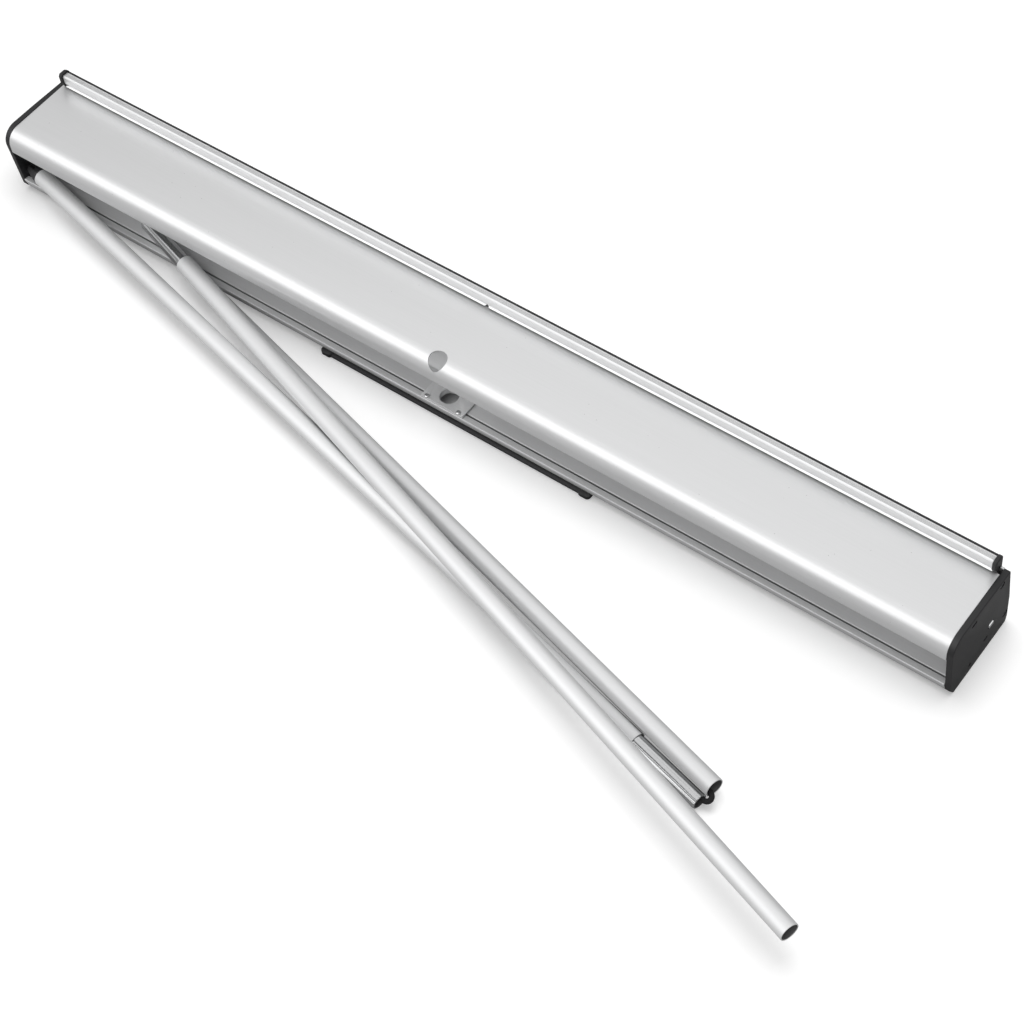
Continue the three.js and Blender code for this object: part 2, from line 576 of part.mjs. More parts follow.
// A round wire through a list of points, closed at both ends
function wireThrough(centres, radius, sides) {
  const positions = [];
  const index = [];
  const count = centres.length;
  const normal = PLUS_Z.clone().cross(centres[1].clone().sub(centres[0]));
  for (let i = 0; i < count; i += 1) {
    const ahead = centres[Math.min(i + 1, count - 1)].clone().sub(centres[Math.max(i - 1, 0)]).normalize();
    normal.addScaledVector(ahead, -normal.dot(ahead)).normalize();
    const side = ahead.clone().cross(normal);
    for (let k = 0; k < sides; k += 1) {
      const angle = 2 * Math.PI * k / sides;
      const p = centres[i].clone()
        .addScaledVector(normal, radius * Math.cos(angle))
        .addScaledVector(side, radius * Math.sin(angle));
      positions.push(p.x, p.y, p.z);
    }
  }
  for (let i = 0; i + 1 < count; i += 1) {
    for (let k = 0; k < sides; k += 1) {
      const a = i * sides + k;
      const b = i * sides + (k + 1) % sides;
      index.push(a, b, a + sides, b, b + sides, a + sides);
    }
  }
  const last = (count - 1) * sides;
  for (let k = 1; k + 1 < sides; k += 1) {
    index.push(0, k + 1, k);
    index.push(last, last + k, last + k + 1);
  }
  const geometry = new THREE.BufferGeometry();
  geometry.setAttribute("position", new THREE.Float32BufferAttribute(positions, 3));
  geometry.setIndex(index);
  return solidOf(geometry);
}

const springCentres = [];
for (let i = 0; i <= SPRING_TURNS * SPRING_STEPS_PER_TURN; i += 1) {
  springCentres.push(springPoint(i / SPRING_STEPS_PER_TURN));
}
addNode("torsion_spring", wireThrough(springCentres, SPRING_WIRE_RADIUS, SPRING_WIRE_SIDES), steel());

// Least gap between one turn of the spring and the next, measured on its points
let springGap = Infinity;
for (let i = 0; i < springCentres.length; i += 1) {
  for (let j = i + Math.ceil(SPRING_STEPS_PER_TURN / 2); j < springCentres.length; j += 1) {
    springGap = Math.min(springGap, springCentres[i].distanceTo(springCentres[j]) - 2 * SPRING_WIRE_RADIUS);
  }
}
console.log(`least gap between turns of the spring ${springGap.toFixed(2)} mm`);

// Top rail with the banner gripped between it and a clamp strip
const sheetFrontY = SHEET_Y + FABRIC_THICKNESS / 2;
const sheetBackY = SHEET_Y - FABRIC_THICKNESS / 2;
const railBackY = sheetBackY - SEAT_GAP;
const railFrontY = railBackY - RAIL_DEPTH;
const railTopZ = RAIL_BOTTOM_Z + RAIL_HEIGHT;
const clampBackY = sheetFrontY + SEAT_GAP;

// A channel open below, with fine ribs along its top and a groove above its foot
function topRail() {
  const ribs = [];
  for (let i = 0; i < RAIL_RIBS; i += 1) {
    const y = railFrontY + RAIL_CORNER + RAIL_RIB_PITCH * (i + 1 / 2);
    ribs.push([y, railTopZ], [y, railTopZ - RAIL_RIB], [y + RAIL_RIB, railTopZ - RAIL_RIB], [y + RAIL_RIB, railTopZ]);
  }
  const footY = railFrontY + RAIL_FOOT_SETBACK;
  const footTop = RAIL_BOTTOM_Z + RAIL_FOOT_HEIGHT;
  const grooveY = railFrontY + RAIL_GROOVE_DEPTH;
  const faceBottom = footTop + RAIL_GROOVE_HEIGHT;
  const outline = points(
    [footY, RAIL_BOTTOM_Z], [footY, footTop], [grooveY, footTop], [grooveY, faceBottom - RAIL_RIB],
    [railFrontY, faceBottom],
    [railFrontY, railTopZ - RAIL_CORNER], [railFrontY + RAIL_CORNER, railTopZ], ...ribs,
    [railBackY, railTopZ], [railBackY, RAIL_BOTTOM_Z + RAIL_WALL],
    [railBackY - RAIL_WALL, RAIL_BOTTOM_Z + RAIL_WALL], [railBackY - RAIL_WALL, railTopZ - 2 * RAIL_WALL],
    [grooveY + RAIL_WALL, railTopZ - 2 * RAIL_WALL], [grooveY + RAIL_WALL, RAIL_BOTTOM_Z],
  ).reverse();
  const notch = placed(
    rod(RAIL_NOTCH_WIDTH / 2, 0, RAIL_WALL * 4, SMALL_SIDES),
    new THREE.Vector3(RAIL_NOTCH_X, railFrontY - RAIL_WALL, RAIL_BOTTOM_Z), new THREE.Vector3(0, 1, 0));
  return alongX(outline, -railLength / 2, railLength / 2).subtract(notch);
}
addNode("top_rail", topRail(), aluminium());

addNode("rail_clamp_strip", box(
  -railLength / 2, railLength / 2, clampBackY, clampBackY + CLAMP_THICKNESS,
  RAIL_BOTTOM_Z, RAIL_BOTTOM_Z + CLAMP_HEIGHT), blackPlastic());

function railCapOutline(inset) {
  return points(
    [RAIL_CAP_FOOT_Y + inset, RAIL_BOTTOM_Z + inset], [RAIL_CAP_BACK_Y - inset, RAIL_BOTTOM_Z + inset],
    [RAIL_CAP_BACK_Y - inset, RAIL_CAP_SHOULDER_Z - inset], [RAIL_CAP_TOP_BACK_Y - inset, RAIL_CAP_TOP_Z - inset],
    [RAIL_CAP_TOP_FRONT_Y + inset, RAIL_CAP_TOP_Z - inset], [RAIL_CAP_FRONT_Y + inset, RAIL_CAP_SHOULDER_Z - inset],
    [RAIL_CAP_FRONT_Y + inset, RAIL_CAP_CHIN_Z],
  );
}

function railCap() {
  const inner = railLength / 2 + SEAT_GAP;
  const outer = inner + RAIL_CAP_THICKNESS;
  const shoulder = outer - RAIL_CAP_DOME;
  const recess = box(
    outer - RAIL_CAP_RECESS, outer + CUT_OVERRUN, RAIL_CAP_FOOT_Y + RAIL_WALL, RAIL_CAP_TOP_BACK_Y - RAIL_WALL,
    RAIL_BOTTOM_Z + 2 * RAIL_WALL, RAIL_CAP_CHIN_Z);
  return loft(railCapOutline(0), inner, railCapOutline(0), shoulder)
    .add(loft(railCapOutline(0), shoulder, railCapOutline(RAIL_CAP_DOME), outer))
    .subtract(recess);
}
const rightRailCap = railCap();
addNode("rail_cap_right", rightRailCap, blackPlastic());
addNode("rail_cap_left", rightRailCap.mirror([1, 0, 0]), blackPlastic());

// The stretch of banner between the roll and the rail: off the roll at a tangent, then up the slot
function bannerSheet() {
  const radius = ROLL_RADIUS + SEAT_GAP + FABRIC_THICKNESS / 2;
  const bendZ = DECK_TOP - WALL;
  const reachY = SHEET_Y - ROLLER_Y;
  const reachZ = bendZ - ROLLER_Z;
  const distance = Math.hypot(reachY, reachZ);
  const angle = Math.atan2(reachZ, reachY) - Math.acos(radius / distance);
  const half = FABRIC_THICKNESS / 2;
  const outX = Math.cos(angle) * half;
  const outZ = Math.sin(angle) * half;
  const startY = ROLLER_Y + radius * Math.cos(angle);
  const startZ = ROLLER_Z + radius * Math.sin(angle);
  const topZ = RAIL_BOTTOM_Z + SHEET_RAIL_ENGAGEMENT;
  return alongX(points(
    [startY - outX, startZ - outZ], [startY + outX, startZ + outZ], [SHEET_Y + half, bendZ],
    [SHEET_Y + half, topZ], [SHEET_Y - half, topZ], [SHEET_Y - half, bendZ],
  ), -bannerWidth / 2, bannerWidth / 2);
}
addNode("banner_sheet", bannerSheet(), fabric());

// Socket plate for the pole, screwed to the lip of the recess, with a collar that reaches through its floor
function socketPlate() {
  const bottom = RECESS_FLOOR_Z + SEAT_GAP;
  const centre = new THREE.Vector3(0, SOCKET_HOLE_Y, socketBottom);
  let plate = box(
    PLATE_X - PLATE_HALF_WIDTH, PLATE_X + PLATE_HALF_WIDTH, PLATE_FRONT_Y, PLATE_BACK_Y, bottom, plateTop)
    .add(placed(rod(collarRadius, 0, SOCKET_DEPTH - PLATE_THICKNESS / 2), centre, PLUS_Z))
    .subtract(placed(rod(holeRadius, -CUT_OVERRUN, SOCKET_DEPTH + CUT_OVERRUN), centre, PLUS_Z));
  for (const side of [-1, 1]) {
    plate = plate.subtract(placed(
      rod(PLATE_SCREW_RADIUS + SEAT_GAP, 0, PLATE_THICKNESS + 2 * CUT_OVERRUN, SMALL_SIDES),
      new THREE.Vector3(PLATE_X + side * PLATE_SCREW_X, PLATE_SCREW_Y, bottom - CUT_OVERRUN), PLUS_Z));
  }
  return plate;
}
addNode("pole_socket_plate", socketPlate(), aluminium());

for (const [side, sign] of [["left", -1], ["right", 1]]) {
  const screw = rod(PLATE_SCREW_RADIUS, -PLATE_SCREW_LENGTH, SEAT_GAP + JOIN_OVERLAP, SMALL_SIDES)
    .add(revolved([
      [0, SEAT_GAP], [PLATE_SCREW_HEAD_RADIUS, SEAT_GAP],
      [PLATE_SCREW_HEAD_RADIUS, SEAT_GAP + PLATE_SCREW_HEAD_HEIGHT / 2],
      [PLATE_SCREW_HEAD_RADIUS / 2, SEAT_GAP + PLATE_SCREW_HEAD_HEIGHT], [0, SEAT_GAP + PLATE_SCREW_HEAD_HEIGHT],
    ], SMALL_SIDES));
  addNode(`socket_screw_${side}`, placed(
    screw, new THREE.Vector3(PLATE_X + sign * PLATE_SCREW_X, PLATE_SCREW_Y, plateTop), PLUS_Z), steel());
}

// Swivel foot: a flat steel bar on a pivot bolt, with a plastic pad on each end
function roundedPlan(x0, x1, y0, y1, radius) {
  const shape = new THREE.Shape();
  shape.moveTo(x0 + radius, y0);
  shape.lineTo(x1 - radius, y0);
  shape.absarc(x1 - radius, y0 + radius, radius, -Math.PI / 2, 0);
  shape.absarc(x1 - radius, y1 - radius, radius, 0, Math.PI / 2);
  shape.absarc(x0 + radius, y1 - radius, radius, Math.PI / 2, Math.PI);
  shape.absarc(x0 + radius, y0 + radius, radius, Math.PI, 1.5 * Math.PI);
  return shape;
}

const footBackY = FOOT_Y - FOOT_WIDTH / 2;
const footFrontY = FOOT_Y + FOOT_WIDTH / 2;
const footTopZ = FOOT_BOTTOM_Z + FOOT_THICKNESS;
const padInset = PAD_LENGTH / 2;

function footBar() {
  const half = FOOT_LENGTH / 2 - PAD_OVERHANG;
  const bar = alongZ(
    roundedPlan(FOOT_X - half, FOOT_X + half, footBackY, footFrontY, FOOT_CORNER), FOOT_BOTTOM_Z, footTopZ);
  const shank = placed(
    rod(PIVOT_BOLT_RADIUS + SEAT_GAP, 0, FOOT_THICKNESS + 2 * CUT_OVERRUN),
    new THREE.Vector3(FOOT_X, FOOT_Y, FOOT_BOTTOM_Z - CUT_OVERRUN), PLUS_Z);
  const head = placed(
    rod(PIVOT_HEAD_RADIUS + SEAT_GAP, 0, PIVOT_HEAD_HEIGHT + SEAT_GAP + CUT_OVERRUN),
    new THREE.Vector3(FOOT_X, FOOT_Y, FOOT_BOTTOM_Z - CUT_OVERRUN), PLUS_Z);
  return bar.subtract(shank).subtract(head);
}
addNode("swivel_foot_bar", footBar(), blackSteel());

// A sleeve pad pushed over the end of the bar, closed at its outer end
function footPad() {
  const outerX = FOOT_X + FOOT_LENGTH / 2;
  const block = alongZ(
    roundedPlan(outerX - PAD_LENGTH, outerX, footBackY - PAD_OVERHANG, footFrontY + PAD_OVERHANG, FOOT_CORNER),
    0, PAD_HEIGHT);
  const pocketHalf = FOOT_LENGTH / 2 - PAD_OVERHANG + SEAT_GAP;
  const pocket = alongZ(
    roundedPlan(
      outerX - PAD_LENGTH - FOOT_CORNER * 2 - CUT_OVERRUN, FOOT_X + pocketHalf, footBackY - SEAT_GAP,
      footFrontY + SEAT_GAP, FOOT_CORNER),
    FOOT_BOTTOM_Z - SEAT_GAP - CUT_OVERRUN, footTopZ + SEAT_GAP);
  return block.subtract(pocket);
}
const rightPad = footPad();
addNode("foot_pad_right", rightPad, blackPlastic());
addNode("foot_pad_left", rightPad.translate(-FOOT_X, 0, 0).mirror([1, 0, 0]).translate(FOOT_X, 0, 0), blackPlastic());

// Pivot: bolt up through the bar, a thin washer and the floor of the extrusion, with a nut inside
const boltTopZ = bottomInner + SEAT_GAP + PIVOT_NUT_HEIGHT + WALL / 2;
const pivotPlace = new THREE.Vector3(FOOT_X, FOOT_Y, 0);
addNode("foot_pivot_bolt", placed(
  rod(PIVOT_HEAD_RADIUS, FOOT_BOTTOM_Z, FOOT_BOTTOM_Z + PIVOT_HEAD_HEIGHT)
    .add(rod(PIVOT_BOLT_RADIUS, FOOT_BOTTOM_Z, boltTopZ)), pivotPlace, PLUS_Z), steel());
addNode("foot_pivot_washer", placed(
  sleeve(WASHER_RADIUS, PIVOT_BOLT_RADIUS + SEAT_GAP, footTopZ + SEAT_GAP, UNDERSIDE_Z - SEAT_GAP),
  pivotPlace, PLUS_Z), steel());
addNode("foot_pivot_nut", placed(
  rod(PIVOT_NUT_RADIUS, 0, PIVOT_NUT_HEIGHT, NUT_SIDES)
    .subtract(rod(PIVOT_BOLT_RADIUS + SEAT_GAP, -CUT_OVERRUN, PIVOT_NUT_HEIGHT + CUT_OVERRUN)),
  new THREE.Vector3(FOOT_X, FOOT_Y, bottomInner + SEAT_GAP), PLUS_Z), steel());

// Pole sections
const poleBore = POLE_RADIUS - POLE_WALL;
const ferruleFit = poleBore - SEAT_GAP;
const ferruleBore = ferruleFit - FERRULE_WALL - FERRULE_FLUTE_DEPTH;

// The place of a pole end, given from the left end of the extrusion
function fromLeftEnd(place) {
  return new THREE.Vector3(place.x - BASE_LENGTH / 2, place.y, place.z);
}

// A tube between two distances along a line
function tubeOn(line, from, to, outer, inner) {
  return placed(sleeve(outer, inner, from, to), line.start, line.direction);
}

function lineBetween(startPlace, endPlace) {
  const start = fromLeftEnd(startPlace);
  const direction = fromLeftEnd(endPlace).sub(start);
  return { start, length: direction.length(), direction: direction.normalize() };
}

function pointOn(line, distance) {
  return line.start.clone().addScaledVector(line.direction, distance);
}

// The ferrule seats in the tube; the fluted stretch that shows fits the bore of the next section
function ferruleOn(line, shown) {
  const spigot = new THREE.Shape();
  const steps = FERRULE_FLUTES * STEPS_PER_FLUTE;
  for (let i = 0; i < steps; i += 1) {
    const radius = ferruleFit - (i % STEPS_PER_FLUTE === 0 ? FERRULE_FLUTE_DEPTH : 0);
    const angle = 2 * Math.PI * i / steps;
    const place = [radius * Math.cos(angle), radius * Math.sin(angle)];
    if (i === 0) {
      spigot.moveTo(...place);
    } else {
      spigot.lineTo(...place);
    }
  }
  const blank = revolved([
    [0, 0], [ferruleFit, 0], [ferruleFit, shown - FERRULE_TIP_CHAMFER], [ferruleFit - FERRULE_TIP_CHAMFER, shown],
    [0, shown],
  ], ROUND_SIDES);
  const solid = alongZ(spigot, 0, shown).intersect(blank)
    .add(rod(ferruleFit, -FERRULE_SEATED, JOIN_OVERLAP))
    .subtract(rod(ferruleBore, -FERRULE_SEATED - CUT_OVERRUN, shown + CUT_OVERRUN));
  return placed(solid, pointOn(line, line.length - shown), line.direction);
}

// The plug that holds the knotted end of the cord inside a tube
function cordAnchorOn(line, from) {
  return placed(rod(ferruleFit, 0, ANCHOR_LENGTH, SMALL_SIDES), pointOn(line, from), line.direction);
}

const topLine = lineBetween(TOP_UPPER_END, TOP_FERRULE_END);
const middleLine = lineBetween(MIDDLE_LOWER_END, MIDDLE_UPPER_END);
const bottomLine = lineBetween(BOTTOM_LOWER_END, BOTTOM_FERRULE_END);

// Top section: tube, ferrule at its lower end, and the hook cap that takes the top rail
addNode("pole_top_tube", tubeOn(
  topLine, 0, topLine.length - TOP_FERRULE_SHOWN, POLE_RADIUS, poleBore), tubeAluminium());
addNode("pole_top_ferrule", ferruleOn(topLine, TOP_FERRULE_SHOWN), steel());

function hookCap() {
  const body = revolved([
    [0, -HOOK_CAP_LENGTH], [HOOK_CAP_TIP_RADIUS - RAIL_WALL, -HOOK_CAP_LENGTH],
    [HOOK_CAP_TIP_RADIUS, RAIL_WALL - HOOK_CAP_LENGTH], [POLE_RADIUS, -SEAT_GAP - RAIL_WALL],
    [POLE_RADIUS, -SEAT_GAP], [ferruleFit, -SEAT_GAP], [ferruleFit, HOOK_CAP_PLUG_LENGTH],
    [0, HOOK_CAP_PLUG_LENGTH],
  ], ROUND_SIDES);
  const slot = box(
    -POLE_RADIUS * 2, POLE_RADIUS * 2, -HOOK_SLOT_WIDTH / 2, HOOK_SLOT_WIDTH / 2,
    -HOOK_CAP_LENGTH - CUT_OVERRUN, HOOK_SLOT_DEPTH - HOOK_CAP_LENGTH);
  return placed(body.subtract(slot), topLine.start, topLine.direction);
}
addNode("pole_top_hook_cap", hookCap(), blackPlastic());

// The cord is pulled taut, so that it lies on the sides of the two mouths that face each other
function nearSide(line, mouth, otherMouth, bore) {
  const toward = otherMouth.clone().sub(mouth);
  toward.addScaledVector(line.direction, -toward.dot(line.direction)).normalize();
  return toward.multiplyScalar(bore - CORD_RADIUS - SEAT_GAP);
}
const topMouth = fromLeftEnd(TOP_FERRULE_END);
const middleMouth = fromLeftEnd(MIDDLE_LOWER_END);
const topSide = nearSide(topLine, topMouth, middleMouth, ferruleBore);
const middleSide = nearSide(middleLine, middleMouth, topMouth, poleBore);

const topAnchorAt = HOOK_CAP_PLUG_LENGTH + ANCHOR_INSET;
addNode("cord_anchor_top", cordAnchorOn(topLine, topAnchorAt), greyPlastic());
addNode("cord_in_top_pole", wireThrough([
  pointOn(topLine, topAnchorAt + ANCHOR_LENGTH + SEAT_GAP),
  pointOn(topLine, topLine.length - CORD_END_INSET).add(topSide),
], CORD_RADIUS, CORD_SIDES), elastic());

// Middle section: a plain tube, open at both ends
addNode("pole_middle_tube", tubeOn(middleLine, 0, middleLine.length, POLE_RADIUS, poleBore), tubeAluminium());

// Bottom section: tube with the ferrule at its upper end
addNode("pole_bottom_tube", tubeOn(
  bottomLine, 0, bottomLine.length - BOTTOM_FERRULE_SHOWN, POLE_RADIUS, poleBore), tubeAluminium());
addNode("pole_bottom_ferrule", ferruleOn(bottomLine, BOTTOM_FERRULE_SHOWN), steel());

// The cord from the mouth of the top section's ferrule, round into the middle section and to its anchor
function middleCord() {
  const start = topMouth.clone().add(topSide).addScaledVector(topLine.direction, SEAT_GAP);
  const end = pointOn(middleLine, LOOP_MOUTH_INSET).add(middleSide);
  const loop = new THREE.CubicBezierCurve3(
    start, start.clone().addScaledVector(topLine.direction, LOOP_HANDLE),
    end.clone().addScaledVector(middleLine.direction, -LOOP_HANDLE), end);
  const anchored = pointOn(middleLine, middleLine.length - ANCHOR_INSET - ANCHOR_LENGTH - SEAT_GAP);
  return wireThrough([...loop.getPoints(LINK_STEPS), anchored], CORD_RADIUS, CORD_SIDES);
}
addNode("elastic_cord", middleCord(), elastic());
addNode("cord_anchor_middle", cordAnchorOn(
  middleLine, middleLine.length - ANCHOR_INSET - ANCHOR_LENGTH), greyPlastic());

// Origin in the middle of the footprint, on the floor
const extent = new THREE.Box3().setFromObject(part);
const middle = extent.getCenter(new THREE.Vector3());
part.position.set(-middle.x, -middle.y, -extent.min.z);
console.log(`moved by ${part.position.toArray().map((value) => value.toFixed(3)).join(" ")} mm`);

export default part;
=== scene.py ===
"""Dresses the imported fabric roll-up banner stand: finishes, fine detail, floor, camera and light."""
import json
import math

import bmesh
import bpy
from mathutils import Matrix, Vector


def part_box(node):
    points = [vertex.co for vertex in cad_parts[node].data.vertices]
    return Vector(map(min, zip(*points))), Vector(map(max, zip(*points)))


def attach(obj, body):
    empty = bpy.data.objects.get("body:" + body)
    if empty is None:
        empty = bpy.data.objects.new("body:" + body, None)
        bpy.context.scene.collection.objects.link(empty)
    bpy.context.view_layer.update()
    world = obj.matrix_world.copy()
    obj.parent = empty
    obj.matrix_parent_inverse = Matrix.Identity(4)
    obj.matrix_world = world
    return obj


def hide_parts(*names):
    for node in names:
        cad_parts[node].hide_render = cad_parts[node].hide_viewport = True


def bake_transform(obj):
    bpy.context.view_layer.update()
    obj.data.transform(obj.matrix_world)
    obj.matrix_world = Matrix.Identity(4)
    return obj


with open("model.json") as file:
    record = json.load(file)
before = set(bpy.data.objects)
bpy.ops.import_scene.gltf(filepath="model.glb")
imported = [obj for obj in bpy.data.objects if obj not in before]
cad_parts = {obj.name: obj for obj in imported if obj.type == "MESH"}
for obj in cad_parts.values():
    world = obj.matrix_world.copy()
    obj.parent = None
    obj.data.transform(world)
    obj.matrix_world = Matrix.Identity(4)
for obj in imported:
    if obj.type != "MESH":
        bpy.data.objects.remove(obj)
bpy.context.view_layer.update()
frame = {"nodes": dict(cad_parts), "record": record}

MM = 0.001

# Place of the base in the frame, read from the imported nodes
SHELL_LOW, SHELL_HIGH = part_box("cassette_shell")
FRONT_BULGE_Y = 38.0
SHIFT = Vector((
    (SHELL_LOW.x + SHELL_HIGH.x) / 2,
    SHELL_HIGH.y - FRONT_BULGE_Y * MM,
    0.0,
))


def place(x, y, z):
    """A point given in millimetres from the floor under the middle of the base."""
    return Vector((x * MM, y * MM, z * MM)) + SHIFT


# Sizes in millimetres, the same as the solid model's, measured from the floor under the middle of the base

# Clearances and cutting
SEAT_GAP = 0.3
CUT_OVERRUN = 2.0
JOIN_OVERLAP = 0.4

# Base extrusion
BASE_LENGTH = 850.0
WALL = 1.5
DECK_TOP = 64.5
DECK_FRONT_Y = 28.0
DECK_LIP_DROP = 4.0
NOSE_CENTRE_Y = -25.7
NOSE_RADIUS = 12.2
NOSE_EDGE_Z = 45.5
UNDERSIDE_Z = 3.6
RECESS_FLOOR_Z = 13.8
RECESS_WALL_Y = -9.0
GROOVE_Y = -30.8
GROOVE_WIDTH = 1.5
GROOVE_DEPTH = 5.6
GROOVE_WALL = 1.2
LIP_EDGE_Y = -36.3
LIP_FOOT_Y = -33.5
FRONT_FOOT_Y = 36.2
FRONT_FOOT_CHAMFER = 1.8
FRONT_BULGE_Z = 8.0
FRONT_WAIST = (37.3, 29.5)
FRONT_TOP = (35.4, 63.3)
FRONT_RETURN = 1.9
BANNER_SETBACK = 25.0
RAIL_SETBACK = 5.0

# End caps and their screws; a slot is its middle's Y and Z, its length and its width
UPPER_CHANNEL = (24.0, 60.4)
LOWER_CHANNEL = (34.3, 13.6)
CAP_SCREW_RADIUS = 1.4
CAP_SCREW_LENGTH = 16.0
CAP_SCREW_HEAD_RADIUS = 2.7
CAP_SCREW_HEAD_HEIGHT = 1.6
CAP_THICKNESS = 4.6
CAP_CHAMFER = 0.8
CAP_TOP_FRONT_Y = 34.6
CAP_TOP_FRONT_Z = 63.8
CAP_TOP_MID_Y = -1.3
CAP_TOP_MID_Z = 65.0
CAP_NOSE_TOP_Z = 65.3
CAP_NOSE_RADIUS = 13.3
CAP_BACK_Y = -37.9
CAP_BACK_FOOT_Y = -35.4
CAP_BACK_FOOT_Z = 7.0
CAP_BOTTOM_BACK_Y = -31.0
CAP_BOTTOM_FRONT_Y = 36.4
CAP_FRONT_FOOT_Y = 38.2
CAP_FRONT_FOOT_Z = 1.8
CAP_FRONT_BULGE_Y = 39.2
CAP_FRONT_BULGE_Z = 7.0
CAP_FRONT_WAIST_Y = 38.8
CAP_FRONT_WAIST_Z = 29.5
CAP_LATCH_SLOT = (-11.6, 59.0, 6.0, 2.6)
CAP_LOWER_SLOT = (8.7, 15.4, 5.0, 2.4)
CAP_PIN_HOLE_Y = -11.0
CAP_PIN_HOLE_Z = 9.0
CAP_PIN_HOLE_RADIUS = 1.6
CAP_HOUSING_WALL = 1.6
CAP_HOUSING_LENGTH = 5.0
CAP_HOUSING_CLEARANCE = 0.6

# Roller and banner
ROLLER_Y = 13.9
ROLLER_Z = 26.5
ROLLER_RADIUS = 12.5
ROLL_RADIUS = 20.4
AXLE_RADIUS = 3.0
AXLE_FLAT_WIDTH = 3.6
AXLE_SLOT = (ROLLER_Y, ROLLER_Z, 2 * (AXLE_RADIUS + SEAT_GAP), AXLE_FLAT_WIDTH + 2 * SEAT_GAP)
BANNER_WIDTH = BASE_LENGTH - 2 * BANNER_SETBACK
FABRIC_THICKNESS = 0.35
SHEET_Y = 31.95
SHEET_RAIL_ENGAGEMENT = 9.5

# Top rail and its caps
RAIL_LENGTH = BASE_LENGTH - 2 * RAIL_SETBACK
RAIL_BOTTOM_Z = 65.3
RAIL_HEIGHT = 12.2
RAIL_DEPTH = 5.3
RAIL_WALL = 1.2
RAIL_BACK_Y = SHEET_Y - FABRIC_THICKNESS / 2 - SEAT_GAP
RAIL_FRONT_Y = RAIL_BACK_Y - RAIL_DEPTH
RAIL_GROOVE_DEPTH = 1.7
RAIL_NOTCH_WIDTH = 4.4
RAIL_NOTCH_X = 1.5
CLAMP_Y = SHEET_Y + FABRIC_THICKNESS / 2 + SEAT_GAP
RAIL_CAP_THICKNESS = 3.2
RAIL_CAP_DOME = 1.1
RAIL_CAP_FRONT_Y = 24.5
RAIL_CAP_FOOT_Y = 26.8
RAIL_CAP_BACK_Y = 34.0
RAIL_CAP_TOP_Z = 79.2
RAIL_CAP_SHOULDER_Z = 77.0
RAIL_CAP_CHIN_Z = 71.0
RAIL_CAP_TOP_FRONT_Y = 26.0
RAIL_CAP_TOP_BACK_Y = 31.6
RAIL_CAP_RECESS = 0.9

# Pole hole in the nose, socket plate and foot pivot
POLE_RADIUS = 7.15
POLE_WALL = 0.8
POLE_FIT = 0.25
NOSE_HOLE_Y = -30.5
SOCKET_HOLE_Y = -25.5
SOCKET_DEPTH = 5.8
SOCKET_WALL = 0.6
PLATE_X = 0.5
PLATE_THICKNESS = 1.9
PLATE_TOP = RECESS_FLOOR_Z + SEAT_GAP + PLATE_THICKNESS
SOCKET_BOTTOM = PLATE_TOP - SOCKET_DEPTH
PLATE_SCREW_X = 14.6
PLATE_SCREW_Y = -34.0
PLATE_SCREW_RADIUS = 1.1
PLATE_SCREW_LENGTH = 6.0
PLATE_SCREW_HEAD_RADIUS = 1.95
PLATE_SCREW_HEAD_HEIGHT = 1.0
FOOT_X = 7.9
FOOT_Y = -23.3
PIVOT_BOLT_RADIUS = 2.5

# Pole sections and the cord through them
TOP_UPPER_END = (-407.38, -31.1, 21.73)
TOP_FERRULE_END = (338.13, -195.66, 6.15)
MIDDLE_UPPER_END = (-212.76, -43.82, 7.6)
MIDDLE_LOWER_END = (342.74, -185.18, 14.11)
BOTTOM_FERRULE_END = (-303.16, -20.97, 20.4)
BOTTOM_LOWER_END = (443.83, -251.96, 35.89)
TOP_FERRULE_SHOWN = 61.0
BOTTOM_FERRULE_SHOWN = 57.0
FERRULE_WALL = 0.8
FERRULE_SEATED = 28.0
FERRULE_FLUTES = 10
FERRULE_FLUTE_DEPTH = 0.45
FERRULE_FIT = POLE_RADIUS - POLE_WALL - SEAT_GAP
FERRULE_BORE = FERRULE_FIT - FERRULE_WALL - FERRULE_FLUTE_DEPTH
HOOK_CAP_PLUG_LENGTH = 14.0
CORD_RADIUS = 2.0
ANCHOR_LENGTH = 10.0
ANCHOR_INSET = 40.0
LOOP_HANDLE = 6.0
LOOP_MOUTH_INSET = 1.5
CORD_END_INSET = 2.0

# Fine forms that only this script makes: sizes in millimetres, angles in degrees

# Corners and edges: from which angle they are sharp or straight, and how far they are rounded
SHARP_ANGLE = 35.0
SOFT_ANGLE = 30.0
FLAT_ANGLE = 1.0
SCREW_SHARP_ANGLE = 25.0
FLUTE_SHARP_ANGLE = 40.0
ROLL_SHARP_ANGLE = 30.0
SHEET_SHARP_ANGLE = 50.0
STRAIGHT_CORNER = 160.0
FILLET_SHARE = 0.45
INSET_LEAST_COSINE = 0.5
MERGE_DISTANCE = 0.001
SHELL_EDGE = 0.35
CAP_EDGE = 1.0
CAP_SLOT_EDGE = 0.5
RAIL_EDGE = 0.15
STRIP_EDGE = 0.3
RAIL_CAP_EDGE = 0.7
HOOK_CAP_EDGE = 0.3
POLE_RIM = 0.22
RIM_SHARE = 0.3

# How finely round forms and long ones are divided
ROUND_SIDES = 96
SCREW_SIDES = 48
HOLE_SIDES = 40
PIN_SIDES = 32
NOSE_STEPS = 40
CAP_NOSE_STEPS = 28
STEPS_PER_FLUTE = 12
CORD_SIDES = 32
CORD_STEP = 1.5
LOOP_STEPS = 60
SHEET_SLANT_STEPS = 10
SHEET_RISE_STEPS = 16
SHEET_ACROSS = 80

# Sections of the base beside the pole hole, so that the faces it cuts stay short
SHELL_SECTIONS = (-24.0, -12.0, 12.0, 24.0)

